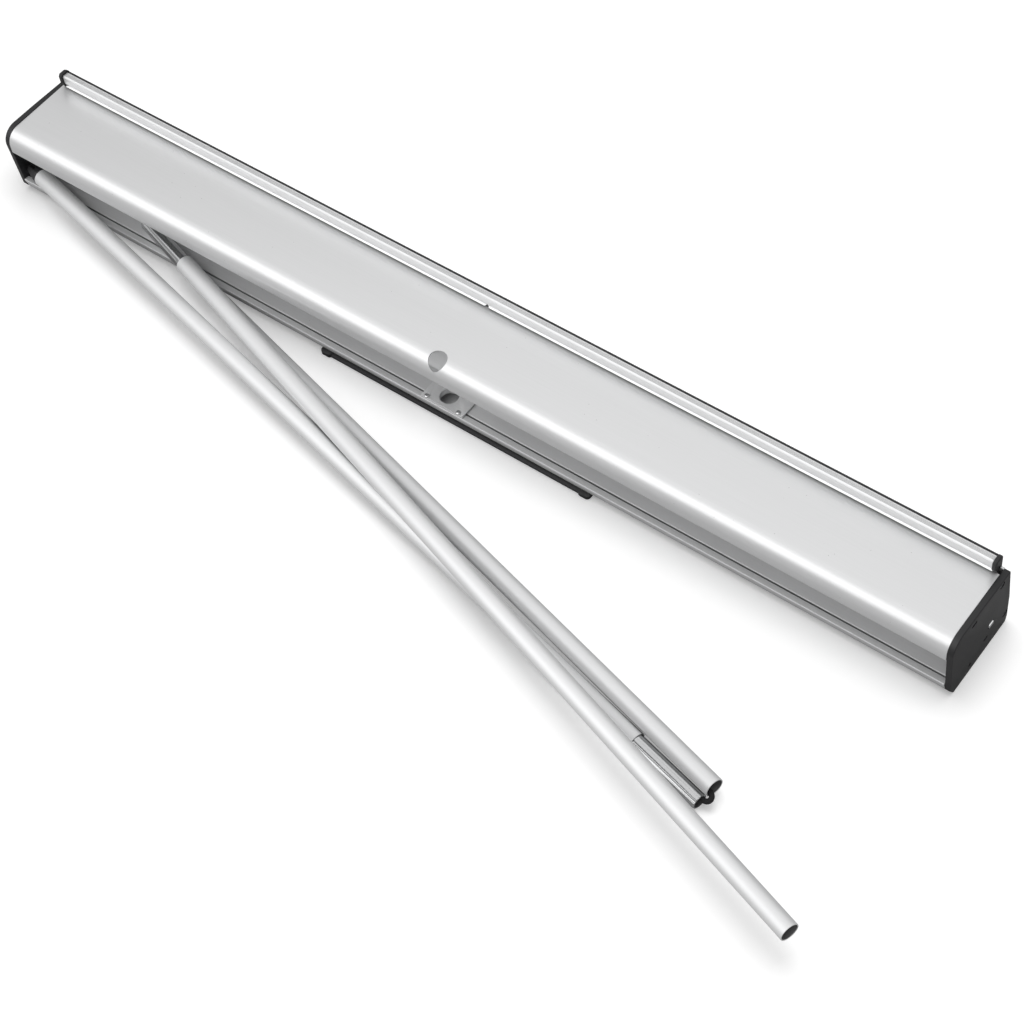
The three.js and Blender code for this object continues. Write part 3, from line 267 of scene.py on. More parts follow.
# Where cutting forms start and end: the hole's start is a share of the way from plate to nose
NOSE_HOLE_START = 0.55
PIVOT_CUT_BELOW = 1.0
CAP_SLOT_REACH = 8.0
PIN_HOLE_REACH = 10.0
SCREW_SEAT_REACH = 9.0
SCREW_SEAT_CONE = 0.2
DRIVER_RECESS_OVERRUN = 0.6
RAIL_CAP_RECESS_OVERRUN = 1.0

# The cap's outer edge: how far back from the face, and how far in, as shares of the chamfer
CAP_EDGE_CURVE = ((0.6, 0.08), (0.25, 0.34), (0.0, 1.0))

# Screws: the tip as a share of the shank's radius, the rest as shares of the head's radius and height
SCREW_TIP = 0.6
HEAD_RIM = 0.35
DRIVER_RECESS_WIDTH = 0.32
DRIVER_RECESS_ARM = 0.62
DRIVER_RECESS_DEPTH = 0.75
DRIVER_RECESS_TAPER = 0.55

# The rail's section: heights above its bottom, and widths from its front or back face
RAIL_FOOT_LOW = 0.8
RAIL_FOOT_HIGH = 1.2
RAIL_FOOT_TOP = 2.2
RAIL_FOOT_SLANT = 1.3
RAIL_FACE_LOW = 4.4
RAIL_FACE_SLANT = 1.2
RAIL_CHAMFER_DROP = 1.5
RAIL_CHAMFER = 1.1
RAIL_FRONT_RIDGE = 1.5
RAIL_BACK_RIDGE = 0.3
RAIL_RIDGE_SLANT = 0.1
RIBS = 4
FIRST_RIB = 2.15
RIB_PITCH = 0.75
RIB_WIDTH = 0.36
RIB_HEIGHT = 0.28
RIB_SUNK = 0.06
STRIP_THICKNESS = 1.6
STRIP_HEIGHT = 11.2
RAIL_CAP_RECESS_BACK_Y = 30.4
RAIL_CAP_RECESS_FRONT_Y = 28.2
RAIL_CAP_RECESS_LOW_Z = 67.9

# Ferrules: the flutes fade in past the tube's rim and out over the rolled tip. Their depth is a share
# of the solid model's, and half their width a share of the way from one flute to the next.
FLUTES_START = 0.1
FLUTES_FULL = 1.2
FLUTE_SKIN = 0.1
FLUTE_DEPTH_SHARE = 0.7
FLUTE_HALF_SHARE = 0.3
FERRULE_TIP = 5.0
FERRULE_ROLL = 1.0
FERRULE_LIP = 0.2

# Cord and banner: the braid's lay is in radians per millimetre, its relief a share of the cord's radius
BRAID_STRANDS = 8
BRAID_LAY = 2.6
BRAID_RELIEF = 0.035
ROLL_LAYERS = 12

# Camera, fitted to the photograph: place and lens in millimetres, angles in degrees, clipping in metres
CAMERA_PLACE = (768.47, -766.8, 1334.66)
CAMERA_AZIMUTH = 40.94
CAMERA_ELEVATION = 54.80
CAMERA_ROLL = 6.21
SENSOR = 36.0
LENS = 81.15
SHIFT_X = -0.0801
SHIFT_Y = 0.0176
CLIP_NEAR = 0.05
CLIP_FAR = 20.0

# Floor and surroundings, in metres and shares of white
FLOOR_REACH = 8.0
FLOOR_DROP = 0.0004
FLOOR_WHITE = 0.86
FLOOR_GLOW = 0.25
FLOOR_SEEN_BY_REFLECTIONS = 0.42
WORLD_STRENGTH = 0.45

# Surfaces: the drawing lines are drawn out along X, and a bump stands this many metres high
GRAIN_STRETCH = (0.012, 1.0, 1.0)
BUMP_HEIGHT = 0.0001
SATIN_METALLIC = 0.5
SPECK_SCALE = 120.0
# Painted shade in crevices: its samples, where it starts and ends, how dark it gets at most and how far it
# reaches in metres
CREVICE_SAMPLES = 8
CREVICE_SHUT = 0.1
CREVICE_OPEN = 0.8
CREVICE_LEAST = 0.3
CREVICE_REACH = 0.0025


# Camera
def make_camera():
    """Stands the camera where the photograph was taken from, turned and shifted to match it."""
    data = bpy.data.cameras.new("photo_camera")
    camera = bpy.data.objects.new("photo_camera", data)
    bpy.context.collection.objects.link(camera)
    azimuth = math.radians(CAMERA_AZIMUTH)
    elevation = math.radians(CAMERA_ELEVATION)
    forward = Vector((
        -math.sin(azimuth) * math.cos(elevation),
        math.cos(azimuth) * math.cos(elevation),
        -math.sin(elevation),
    ))
    level = forward.cross(Vector((0, 0, 1))).normalized()
    upright = level.cross(forward)
    roll = math.radians(-CAMERA_ROLL)
    right = level * math.cos(roll) + upright * math.sin(roll)
    up = right.cross(forward)
    turn = Matrix((right, up, -forward)).transposed().to_4x4()
    camera.matrix_world = Matrix.Translation(place(*CAMERA_PLACE)) @ turn
    data.sensor_width = SENSOR
    data.sensor_fit = "HORIZONTAL"
    data.lens = LENS
    data.shift_x = SHIFT_X
    data.shift_y = SHIFT_Y
    data.clip_start = CLIP_NEAR
    data.clip_end = CLIP_FAR
    bpy.context.scene.camera = camera


make_camera()


# Shader node helpers
def new_material(name):
    material = bpy.data.materials.new(name)
    material.use_nodes = True
    nodes = material.node_tree.nodes
    shader = next(n for n in nodes if n.type == "BSDF_PRINCIPLED")
    return material, nodes, material.node_tree.links, shader


def add(nodes, kind, **inputs):
    node = nodes.new(kind)
    for key, value in inputs.items():
        node.inputs[key].default_value = value
    return node


def open_group(name, inputs, outputs):
    """A shader node group with number inputs and the outputs given, and its two group nodes."""
    group = bpy.data.node_groups.new(name, "ShaderNodeTree")
    for socket in inputs:
        group.interface.new_socket(socket, in_out="INPUT", socket_type="NodeSocketFloat")
    for socket, kind in outputs:
        group.interface.new_socket(socket, in_out="OUTPUT", socket_type="NodeSocket" + kind)
    return group, group.nodes.new("NodeGroupInput"), group.nodes.new("NodeGroupOutput")


def use_group(nodes, group, **inputs):
    node = nodes.new("ShaderNodeGroup")
    node.node_tree = group
    for key, value in inputs.items():
        node.inputs[key.replace("_", " ")].default_value = value
    return node


def noise(nodes, links, coords, scale, detail):
    cloud = add(nodes, "ShaderNodeTexNoise", Scale=scale, Detail=detail)
    links.new(coords.outputs["Object"], cloud.inputs["Vector"])
    return cloud.outputs["Fac"]


def raise_surface(nodes, links, shader, height, depth):
    bump = add(nodes, "ShaderNodeBump", Strength=depth, Distance=BUMP_HEIGHT)
    links.new(height, bump.inputs["Height"])
    links.new(bump.outputs["Normal"], shader.inputs["Normal"])


def vary_roughness(nodes, links, shader, value, low, high):
    """Lets the roughness follow a value from 0 to 1."""
    spread = nodes.new("ShaderNodeMapRange")
    spread.inputs["To Min"].default_value = low
    spread.inputs["To Max"].default_value = high
    links.new(value, spread.inputs["Value"])
    links.new(spread.outputs["Result"], shader.inputs["Roughness"])


def colour_mix(nodes, links, factor, a, b, blend_type="MIX"):
    """Mixes two colours. The factor and each colour are a socket or a fixed value."""
    mix = nodes.new("ShaderNodeMix")
    mix.data_type = "RGBA"
    mix.blend_type = blend_type
    for key, value in (("Factor", factor), ("A", a), ("B", b)):
        if isinstance(value, bpy.types.NodeSocket):
            links.new(value, mix.inputs[key])
        else:
            mix.inputs[key].default_value = value
    return mix.outputs["Result"]


def share_of(colour, share):
    return (*[c * share for c in colour], 1.0)


# Shader node groups
def drawn_grain_group():
    """Fine lines along X, as on drawn and brushed aluminium: a 0 to 1 value and a normal."""
    group, start, end = open_group(
        "drawn_grain", ("Lines per metre", "Depth"), (("Value", "Float"), ("Normal", "Vector")))
    nodes, links = group.nodes, group.links
    coords = nodes.new("ShaderNodeTexCoord")
    stretch = nodes.new("ShaderNodeVectorMath")
    stretch.operation = "MULTIPLY"
    stretch.inputs[1].default_value = GRAIN_STRETCH
    links.new(coords.outputs["Object"], stretch.inputs[0])
    lines = add(nodes, "ShaderNodeTexNoise", Detail=3.0, Roughness=0.6)
    links.new(stretch.outputs["Vector"], lines.inputs["Vector"])
    links.new(start.outputs["Lines per metre"], lines.inputs["Scale"])
    bump = add(nodes, "ShaderNodeBump", Distance=BUMP_HEIGHT)
    links.new(start.outputs["Depth"], bump.inputs["Strength"])
    links.new(lines.outputs["Fac"], bump.inputs["Height"])
    links.new(lines.outputs["Fac"], end.inputs["Value"])
    links.new(bump.outputs["Normal"], end.inputs["Normal"])
    return group


def speckle_group():
    """Small scattered marks, such as dust and handling specks: a mask from 0 to 1."""
    group, start, end = open_group("fine_specks", ("Scale", "Amount"), (("Mask", "Float"),))
    nodes, links = group.nodes, group.links
    coords = nodes.new("ShaderNodeTexCoord")
    cells = nodes.new("ShaderNodeTexVoronoi")
    links.new(coords.outputs["Object"], cells.inputs["Vector"])
    links.new(start.outputs["Scale"], cells.inputs["Scale"])
    near = nodes.new("ShaderNodeMath")
    near.operation = "LESS_THAN"
    links.new(cells.outputs["Distance"], near.inputs[0])
    links.new(start.outputs["Amount"], near.inputs[1])
    links.new(near.outputs["Value"], end.inputs["Mask"])
    return group


def crevice_group():
    """A value that falls from 1 to the least one given, where faces close together shade each other."""
    group, start, end = open_group("crevice_shade", ("Least", "Reach"), (("Value", "Float"),))
    nodes, links = group.nodes, group.links
    shade_node = nodes.new("ShaderNodeAmbientOcclusion")
    shade_node.samples = CREVICE_SAMPLES
    links.new(start.outputs["Reach"], shade_node.inputs["Distance"])
    spread = nodes.new("ShaderNodeMapRange")
    spread.inputs["From Min"].default_value = CREVICE_SHUT
    spread.inputs["From Max"].default_value = CREVICE_OPEN
    links.new(shade_node.outputs["AO"], spread.inputs["Value"])
    links.new(start.outputs["Least"], spread.inputs["To Min"])
    links.new(spread.outputs["Result"], end.inputs["Value"])
    return group


CREVICE = crevice_group()
DRAWN = drawn_grain_group()
SPECKS = speckle_group()


# Materials
def aluminium(name, colour, roughness, lines, depth, specks=0.0):
    """Satin anodised aluminium with the drawing lines of the extrusion, and painted shade that darkens its
    colour where faces lie close together.
    """
    material, nodes, links, shader = new_material(name)
    shader.inputs["Metallic"].default_value = SATIN_METALLIC
    grain = use_group(nodes, DRAWN, Lines_per_metre=lines, Depth=depth)
    value = grain.outputs["Value"]
    surface = colour_mix(nodes, links, value, share_of(colour, 0.93), share_of(colour, 1.0))
    vary_roughness(nodes, links, shader, value, roughness - 0.04, roughness + 0.05)
    links.new(grain.outputs["Normal"], shader.inputs["Normal"])
    if specks:
        marks = use_group(nodes, SPECKS, Scale=SPECK_SCALE, Amount=specks)
        surface = colour_mix(nodes, links, marks.outputs["Mask"], surface, share_of(colour, 0.55))
    # Painted shade: the colour is darkened in crevices, grooves and beside nearby parts, where shade falls
    crevice = use_group(nodes, CREVICE, Least=CREVICE_LEAST, Reach=CREVICE_REACH)
    surface = colour_mix(nodes, links, 1.0, surface, crevice.outputs["Value"], "MULTIPLY")
    links.new(surface, shader.inputs["Base Color"])
    return material


def moulded(name, colour, roughness, grains, depth):
    """Moulded plastic or powder coat: a fine pebbled surface with slight unevenness of sheen."""
    material, nodes, links, shader = new_material(name)
    coords = nodes.new("ShaderNodeTexCoord")
    raise_surface(nodes, links, shader, noise(nodes, links, coords, grains, detail=2.0), depth)
    cloud = noise(nodes, links, coords, scale=45.0, detail=3.0)
    tint = colour_mix(nodes, links, cloud, share_of(colour, 0.8), share_of(colour, 1.2))
    links.new(tint, shader.inputs["Base Color"])
    vary_roughness(nodes, links, shader, cloud, roughness - 0.06, roughness + 0.06)
    return material


def bright_steel(name, colour, roughness):
    """Plated or polished steel, slightly uneven in shade and sheen."""
    material, nodes, links, shader = new_material(name)
    shader.inputs["Metallic"].default_value = 1.0
    cloud = noise(nodes, links, nodes.new("ShaderNodeTexCoord"), scale=900.0, detail=4.0)
    vary_roughness(nodes, links, shader, cloud, roughness - 0.05, roughness + 0.08)
    tint = colour_mix(nodes, links, cloud, share_of(colour, 0.88), share_of(colour, 1.0))
    links.new(tint, shader.inputs["Base Color"])
    return material


def woven(name, colour, threads, roughness, depth):
    """Cloth or braid: two crossed sets of fine threads."""
    material, nodes, links, shader = new_material(name)
    coords = nodes.new("ShaderNodeTexCoord")
    both = nodes.new("ShaderNodeMath")
    both.operation = "MULTIPLY"
    for i, direction in enumerate(("X", "Z")):
        wave = add(nodes, "ShaderNodeTexWave", Scale=threads, Distortion=0.4, Detail=1.0)
        wave.bands_direction = direction
        links.new(coords.outputs["Object"], wave.inputs["Vector"])
        links.new(wave.outputs["Fac"], both.inputs[i])
    weave = both.outputs["Value"]
    raise_surface(nodes, links, shader, weave, depth)
    tint = colour_mix(nodes, links, weave, share_of(colour, 0.85), share_of(colour, 1.0))
    links.new(tint, shader.inputs["Base Color"])
    shader.inputs["Roughness"].default_value = roughness
    return material


# Colour and roughness of each finish, then its lines or grains per metre and how deep they are;
# for cloth and braid the threads come before the roughness
FINISHES = {
    "deck_aluminium": aluminium("deck_aluminium", (0.70, 0.703, 0.707), 0.38, 900.0, 0.05, specks=0.035),
    "rail_aluminium": aluminium("rail_aluminium", (0.80, 0.803, 0.807), 0.34, 900.0, 0.06),
    "tube_aluminium": aluminium("tube_aluminium", (0.78, 0.783, 0.787), 0.56, 1400.0, 0.05),
    "bright_steel": bright_steel("bright_steel", (0.78, 0.785, 0.79), 0.2),
    "black_plastic": moulded("black_plastic", (0.010, 0.010, 0.011), 0.5, 1400.0, 0.25),
    "black_steel": moulded("black_steel", (0.010, 0.010, 0.011), 0.5, 2200.0, 0.3),
    "grey_plastic": moulded("grey_plastic", (0.50, 0.51, 0.52), 0.45, 1400.0, 0.2),
    "banner_fabric": woven("banner_fabric", (0.90, 0.90, 0.88), 1500.0, 0.85, 0.3),
    "elastic": woven("elastic", (0.012, 0.012, 0.013), 900.0, 0.85, 0.8),
}
BLACK_ZINC = bright_steel("black_zinc", (0.10, 0.10, 0.105), 0.38)
FERRULE_FINISH = bright_steel("polished_ferrule", (0.54, 0.545, 0.55), 0.22)
# Painted shade: a near-black colour for the bores of tubes and ferrules, where shade falls inside them
PAINTED_BORE_SHADE = moulded("unpolished_bore", (0.09, 0.09, 0.092), 0.6, 900.0, 0.3)
NODE_SLOTS = {entry["node"]: entry["material_slot"] for entry in frame["record"]["subparts"]}


def dress_nodes():
    for name, node in frame["nodes"].items():
        node.data.materials.clear()
        node.data.materials.append(FINISHES[NODE_SLOTS[name]])


dress_nodes()


# Mesh helpers. Outlines are lists of (y, z) pairs in millimetres in the base's section.
def fillet(outline, radius, steps=4):
    """Rounds the corners of a closed outline, as far as the sides beside each one allow."""
    rounded = []
    count = len(outline)
    for i, corner in enumerate(outline):
        p = Vector(corner)
        before = Vector(outline[i - 1]) - p
        after = Vector(outline[(i + 1) % count]) - p
        opening = before.angle(after)
        if opening > math.radians(STRAIGHT_CORNER):
            rounded.append(tuple(p))
            continue
        reach = min(radius / math.tan(opening / 2), FILLET_SHARE * min(before.length, after.length))
        first = p + before.normalized() * reach
        last = p + after.normalized() * reach
        for k in range(steps + 1):
            s = k / steps
            rounded.append(tuple((1 - s) ** 2 * first + 2 * s * (1 - s) * p + s * s * last))
    return rounded


def inset(outline, depth):
    """Moves a closed outline inwards, whichever way round it runs."""
    count = len(outline)
    area = sum(
        outline[i][0] * outline[(i + 1) % count][1] - outline[(i + 1) % count][0] * outline[i][1]
        for i in range(count))
    turn = 1 if area > 0 else -1
    moved = []
    for i in range(count):
        ahead = (Vector(outline[(i + 1) % count]) - Vector(outline[i])).normalized()
        behind = (Vector(outline[i]) - Vector(outline[i - 1])).normalized()
        along = (ahead + behind).normalized()
        side = Vector((-along.y, along.x)) * turn
        moved.append(tuple(Vector(outline[i]) + side * depth / max(along.dot(ahead), INSET_LEAST_COSINE)))
    return moved


def shade(mesh, angle):
    mesh.polygons.foreach_set("use_smooth", [True] * len(mesh.polygons))
    mesh.set_sharp_from_angle(angle=math.radians(angle))
    mesh.update()


def mesh_through(name, rings, ends=True, round_again=False, angle=SHARP_ANGLE):
    """A mesh through rings of equally many points, or one point where it closes on its axis."""
    vertices, faces, starts = [], [], []
    for ring in rings:
        starts.append(len(vertices))
        vertices.extend(ring)
    pairs = list(zip(range(len(rings) - 1), range(1, len(rings))))
    if round_again:
        pairs.append((len(rings) - 1, 0))
    for a, b in pairs:
        count = max(len(rings[a]), len(rings[b]))
        for k in range(count):
            n = (k + 1) % count
            if len(rings[a]) == 1:
                faces.append((starts[a], starts[b] + n, starts[b] + k))
            elif len(rings[b]) == 1:
                faces.append((starts[a] + k, starts[a] + n, starts[b]))
            else:
                faces.append((starts[a] + k, starts[a] + n, starts[b] + n, starts[b] + k))
    if ends and not round_again:
        for at, ring in ((starts[0], rings[0]), (starts[-1], rings[-1])):
            if len(ring) > 2:
                faces.append(tuple(range(at, at + len(ring))))
    mesh = bpy.data.meshes.new(name)
    mesh.from_pydata(vertices, [], faces)
    work = bmesh.new()
    work.from_mesh(mesh)
    bmesh.ops.recalc_face_normals(work, faces=work.faces)
    work.to_mesh(mesh)
    work.free()
    shade(mesh, angle)
    return mesh


def mesh_along_x(name, outlines, angle=SHARP_ANGLE):
    """A solid through [x, outline] pairs."""
    rings = [[place(x, y, z) for y, z in outline] for x, outline in outlines]
    return mesh_through(name, rings, angle=angle)


def axes_of(direction):
    ahead = Vector(direction).normalized()
    side = ahead.orthogonal().normalized()
    return ahead, side, ahead.cross(side)


def mesh_round(name, profile, start, direction, sides=ROUND_SIDES, closed=False, angle=SHARP_ANGLE):
    """Turns [radius, distance] pairs about a line through start, all in millimetres."""
    ahead, side, up = axes_of(direction)
    origin = Vector(start)
    rings = []
    for radius, distance in profile:
        centre = origin + ahead * distance
        if radius == 0:
            rings.append([place(*centre)])
            continue
        ring = []
        for k in range(sides):
            turn = 2 * math.pi * k / sides
            ring.append(place(*(centre + (side * math.cos(turn) + up * math.sin(turn)) * radius)))
        rings.append(ring)
    return mesh_through(name, rings, ends=False, round_again=closed, angle=angle)


def new_object(name, mesh):
    piece = bpy.data.objects.new(name, mesh)
    bpy.context.collection.objects.link(piece)
    return piece


def finish_piece(name, mesh, nodes, body, slot, finish=None):
    """Dresses a piece, hides the nodes it replaces, and parents it to the body it rides on where it has
    one.
    """
    piece = new_object(name, mesh)
    mesh.materials.clear()
    mesh.materials.append(finish or FINISHES[slot])
    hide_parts(*nodes)
    if body:
        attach(piece, body)
    return piece


def plain_mesh(item):
    """The mesh that an object's modifiers make of it. The object itself is removed."""
    mesh = bpy.data.meshes.new_from_object(item.evaluated_get(bpy.context.evaluated_depsgraph_get()))
    bpy.data.objects.remove(item)
    return mesh


def combined(mesh, others, operation, angle=SHARP_ANGLE):
    """The mesh with the others cut out of it or joined to it."""
    main = new_object("main_form", mesh)
    helpers = [new_object("helper_form", other) for other in others]
    for helper in helpers:
        step = main.modifiers.new("form", "BOOLEAN")
        step.operation = operation
        step.solver = "EXACT"
        step.object = helper
    result = plain_mesh(main)
    for helper in helpers:
        bpy.data.objects.remove(helper)
    shade(result, angle)
    return result


# Geometry node trees for what repeats: the rail's ribs and the ferrules' flutes
def new_tree(name, sockets):
    """A tree with a geometry in, a geometry out and the named inputs, and its two group nodes."""
    tree = bpy.data.node_groups.new(name, "GeometryNodeTree")
    tree.interface.new_socket("Geometry", in_out="INPUT", socket_type="NodeSocketGeometry")
    for socket_name, kind in sockets:
        tree.interface.new_socket(socket_name, in_out="INPUT", socket_type="NodeSocket" + kind)
    tree.interface.new_socket("Geometry", in_out="OUTPUT", socket_type="NodeSocketGeometry")
    return tree, tree.nodes.new("NodeGroupInput"), tree.nodes.new("NodeGroupOutput")


def close_tree(tree, start, end, geometry):
    """Ends a tree in real geometry that wears the material given."""
    realize = tree.nodes.new("GeometryNodeRealizeInstances")
    dress = tree.nodes.new("GeometryNodeSetMaterial")
    tree.links.new(geometry, realize.inputs["Geometry"])
    tree.links.new(realize.outputs["Geometry"], dress.inputs["Geometry"])
    tree.links.new(start.outputs["Material"], dress.inputs["Material"])
    tree.links.new(dress.outputs["Geometry"], end.inputs["Geometry"])


def rib_row_tree():
    """Adds a row of equal ribs, side by side along Y, to the form that comes in."""
    tree, start, end = new_tree("rib_row", [
        ("Ribs", "Int"), ("Spacing", "Vector"), ("First rib", "Vector"), ("Rib size", "Vector"),
        ("Material", "Material")])
    row = tree.nodes.new("GeometryNodeMeshLine")
    tree.links.new(start.outputs["Ribs"], row.inputs["Count"])
    tree.links.new(start.outputs["First rib"], row.inputs["Start Location"])
    tree.links.new(start.outputs["Spacing"], row.inputs["Offset"])
    rib = tree.nodes.new("GeometryNodeMeshCube")
    tree.links.new(start.outputs["Rib size"], rib.inputs["Size"])
    stand = tree.nodes.new("GeometryNodeInstanceOnPoints")
    tree.links.new(row.outputs["Mesh"], stand.inputs["Points"])
    tree.links.new(rib.outputs["Mesh"], stand.inputs["Instance"])
    join = tree.nodes.new("GeometryNodeJoinGeometry")
    tree.links.new(stand.outputs["Instances"], join.inputs["Geometry"])
    tree.links.new(start.outputs["Geometry"], join.inputs["Geometry"])
    close_tree(tree, start, end, join.outputs["Geometry"])
    return tree


def flute_tree():
    """Presses equal flutes into the outside of a form turned about Z, from a start height up."""
    tree, start, end = new_tree("flute_ring", [
        ("Flutes", "Int"), ("Depth", "Float"), ("Half width share", "Float"), ("Start", "Float"),
        ("Full", "Float"), ("Inner radius", "Float"), ("Outer radius", "Float"), ("Material", "Material")])
    given = start.outputs

    def math_node(operation, a, b=None):
        node = tree.nodes.new("ShaderNodeMath")
        node.operation = operation
        for socket, value in zip(node.inputs, (a, b)):
            if isinstance(value, (int, float)):
                socket.default_value = value
            elif value is not None:
                tree.links.new(value, socket)
        return node.outputs["Value"]

    def fade(value, low, high):
        node = tree.nodes.new("ShaderNodeMapRange")
        tree.links.new(value, node.inputs["Value"])
        tree.links.new(low, node.inputs["From Min"])
        tree.links.new(high, node.inputs["From Max"])
        return node.outputs["Result"]

    position = tree.nodes.new("GeometryNodeInputPosition")
    parts = tree.nodes.new("ShaderNodeSeparateXYZ")
    tree.links.new(position.outputs["Position"], parts.inputs["Vector"])
    flat = tree.nodes.new("ShaderNodeCombineXYZ")
    tree.links.new(parts.outputs["X"], flat.inputs["X"])
    tree.links.new(parts.outputs["Y"], flat.inputs["Y"])
    radius = tree.nodes.new("ShaderNodeVectorMath")
    radius.operation = "LENGTH"
    tree.links.new(flat.outputs["Vector"], radius.inputs[0])
    angle = math_node("ARCTAN2", parts.outputs["Y"], parts.outputs["X"])
    turn = math_node("DIVIDE", angle, 2 * math.pi)
    through_flute = math_node("FRACT", math_node("MULTIPLY", turn, given["Flutes"]))
    share = math_node("DIVIDE", math_node("SUBTRACT", through_flute, 0.5), given["Half width share"])
    hollow = math_node("MAXIMUM", math_node("SUBTRACT", 1.0, math_node("MULTIPLY", share, share)), 0.0)
    pressed = math_node("MULTIPLY", hollow, given["Depth"])
    for value, low, high in (
        (parts.outputs["Z"], given["Start"], given["Full"]),
        (radius.outputs["Value"], given["Inner radius"], given["Outer radius"]),
    ):
        pressed = math_node("MULTIPLY", pressed, fade(value, low, high))
    outward = tree.nodes.new("ShaderNodeVectorMath")
    outward.operation = "NORMALIZE"
    tree.links.new(flat.outputs["Vector"], outward.inputs[0])
    inward = tree.nodes.new("ShaderNodeVectorMath")
    inward.operation = "SCALE"
    tree.links.new(outward.outputs["Vector"], inward.inputs[0])
    tree.links.new(math_node("MULTIPLY", pressed, -1.0), inward.inputs["Scale"])
    move = tree.nodes.new("GeometryNodeSetPosition")
    tree.links.new(start.outputs["Geometry"], move.inputs["Geometry"])
    tree.links.new(inward.outputs["Vector"], move.inputs["Offset"])
    close_tree(tree, start, end, move.outputs["Geometry"])
    return tree


def grown(mesh, tree, angle, **values):
    """The mesh that a tree makes of the one given, with the tree's inputs set by name."""
    item = new_object("tree_form", mesh)
    step = item.modifiers.new("form", "NODES")
    step.node_group = tree
    for socket in tree.interface.items_tree:
        key = socket.name.replace(" ", "_")
        if socket.in_out == "INPUT" and key in values:
            step[socket.identifier] = values[key]
    result = plain_mesh(item)
    shade(result, angle)
    return result


RIB_ROW = rib_row_tree()
FLUTE_RING = flute_tree()


def softened(node, edge, segments=2, angle=SOFT_ANGLE):
    """A copy of a node's form with its sharp edges rounded."""
    work = bmesh.new()
    work.from_mesh(frame["nodes"][node].data)
    bmesh.ops.remove_doubles(work, verts=work.verts, dist=MERGE_DISTANCE * MM)
    bmesh.ops.dissolve_limit(
        work, angle_limit=math.radians(FLAT_ANGLE), verts=work.verts, edges=work.edges, delimit={"NORMAL"})
    sharp = [e for e in work.edges if e.is_manifold and e.calc_face_angle(0) > math.radians(angle)]
    bmesh.ops.bevel(
        work, geom=sharp, offset=edge * MM, offset_type="OFFSET", segments=segments, profile=0.5,
        affect="EDGES", clamp_overlap=True)
    mesh = bpy.data.meshes.new(node + "_form")
    work.to_mesh(mesh)
    work.free()
    shade(mesh, angle)
    return mesh


def arc(y, z, radius, start, end, steps):
    turns = [math.radians(start + (end - start) * i / steps) for i in range(steps + 1)]
    return [(y + radius * math.cos(t), z + radius * math.sin(t)) for t in turns]


# Base extrusion, one outline with rounded corners
def shell_outline():
    nose_z = DECK_TOP - NOSE_RADIUS
    under = DECK_TOP - WALL
    floor_under = RECESS_FLOOR_Z - WALL
    inner = UNDERSIDE_Z + WALL
    groove_near, groove_far = GROOVE_Y + GROOVE_WIDTH / 2, GROOVE_Y - GROOVE_WIDTH / 2
    groove_low = RECESS_FLOOR_Z - GROOVE_DEPTH
    nose_back = NOSE_CENTRE_Y - NOSE_RADIUS
    lip_low = DECK_TOP - DECK_LIP_DROP
    return fillet([
        (DECK_FRONT_Y, lip_low), (DECK_FRONT_Y, DECK_TOP),
        *arc(NOSE_CENTRE_Y, nose_z, NOSE_RADIUS, 90, 180, NOSE_STEPS),
        (nose_back, NOSE_EDGE_Z), (nose_back + WALL, NOSE_EDGE_Z),
        *arc(NOSE_CENTRE_Y, nose_z, NOSE_RADIUS - WALL, 180, 90, NOSE_STEPS),
        (RECESS_WALL_Y, under), (RECESS_WALL_Y, RECESS_FLOOR_Z), (groove_near, RECESS_FLOOR_Z),
        (groove_near, groove_low), (groove_far, groove_low), (groove_far, RECESS_FLOOR_Z),
        (LIP_EDGE_Y, RECESS_FLOOR_Z), (LIP_EDGE_Y, floor_under), (LIP_FOOT_Y, UNDERSIDE_Z),
        (FRONT_FOOT_Y, UNDERSIDE_Z), (FRONT_FOOT_Y + FRONT_FOOT_CHAMFER, UNDERSIDE_Z + FRONT_FOOT_CHAMFER),
        (FRONT_BULGE_Y, FRONT_BULGE_Z), FRONT_WAIST, FRONT_TOP,
        (FRONT_TOP[0] - FRONT_RETURN, FRONT_TOP[1]), (FRONT_TOP[0] - FRONT_RETURN, FRONT_TOP[1] - WALL),
        (FRONT_TOP[0] - WALL, FRONT_TOP[1] - WALL), (FRONT_WAIST[0] - WALL, FRONT_WAIST[1]),
        (FRONT_BULGE_Y - WALL, FRONT_BULGE_Z), (FRONT_FOOT_Y - JOIN_OVERLAP, inner),
        (LIP_FOOT_Y + WALL, inner), (LIP_EDGE_Y + WALL, floor_under),
        (groove_far - GROOVE_WALL, floor_under), (groove_far - GROOVE_WALL, groove_low - GROOVE_WALL),
        (groove_near + GROOVE_WALL, groove_low - GROOVE_WALL), (groove_near + GROOVE_WALL, floor_under),
        (RECESS_WALL_Y + WALL, floor_under), (RECESS_WALL_Y + WALL, under),
        (DECK_FRONT_Y - WALL, under), (DECK_FRONT_Y - WALL, lip_low),
    ], SHELL_EDGE, steps=3)


def rod_profile(radius, length):
    return [(0, 0), (radius, 0), (radius, length), (0, length)]


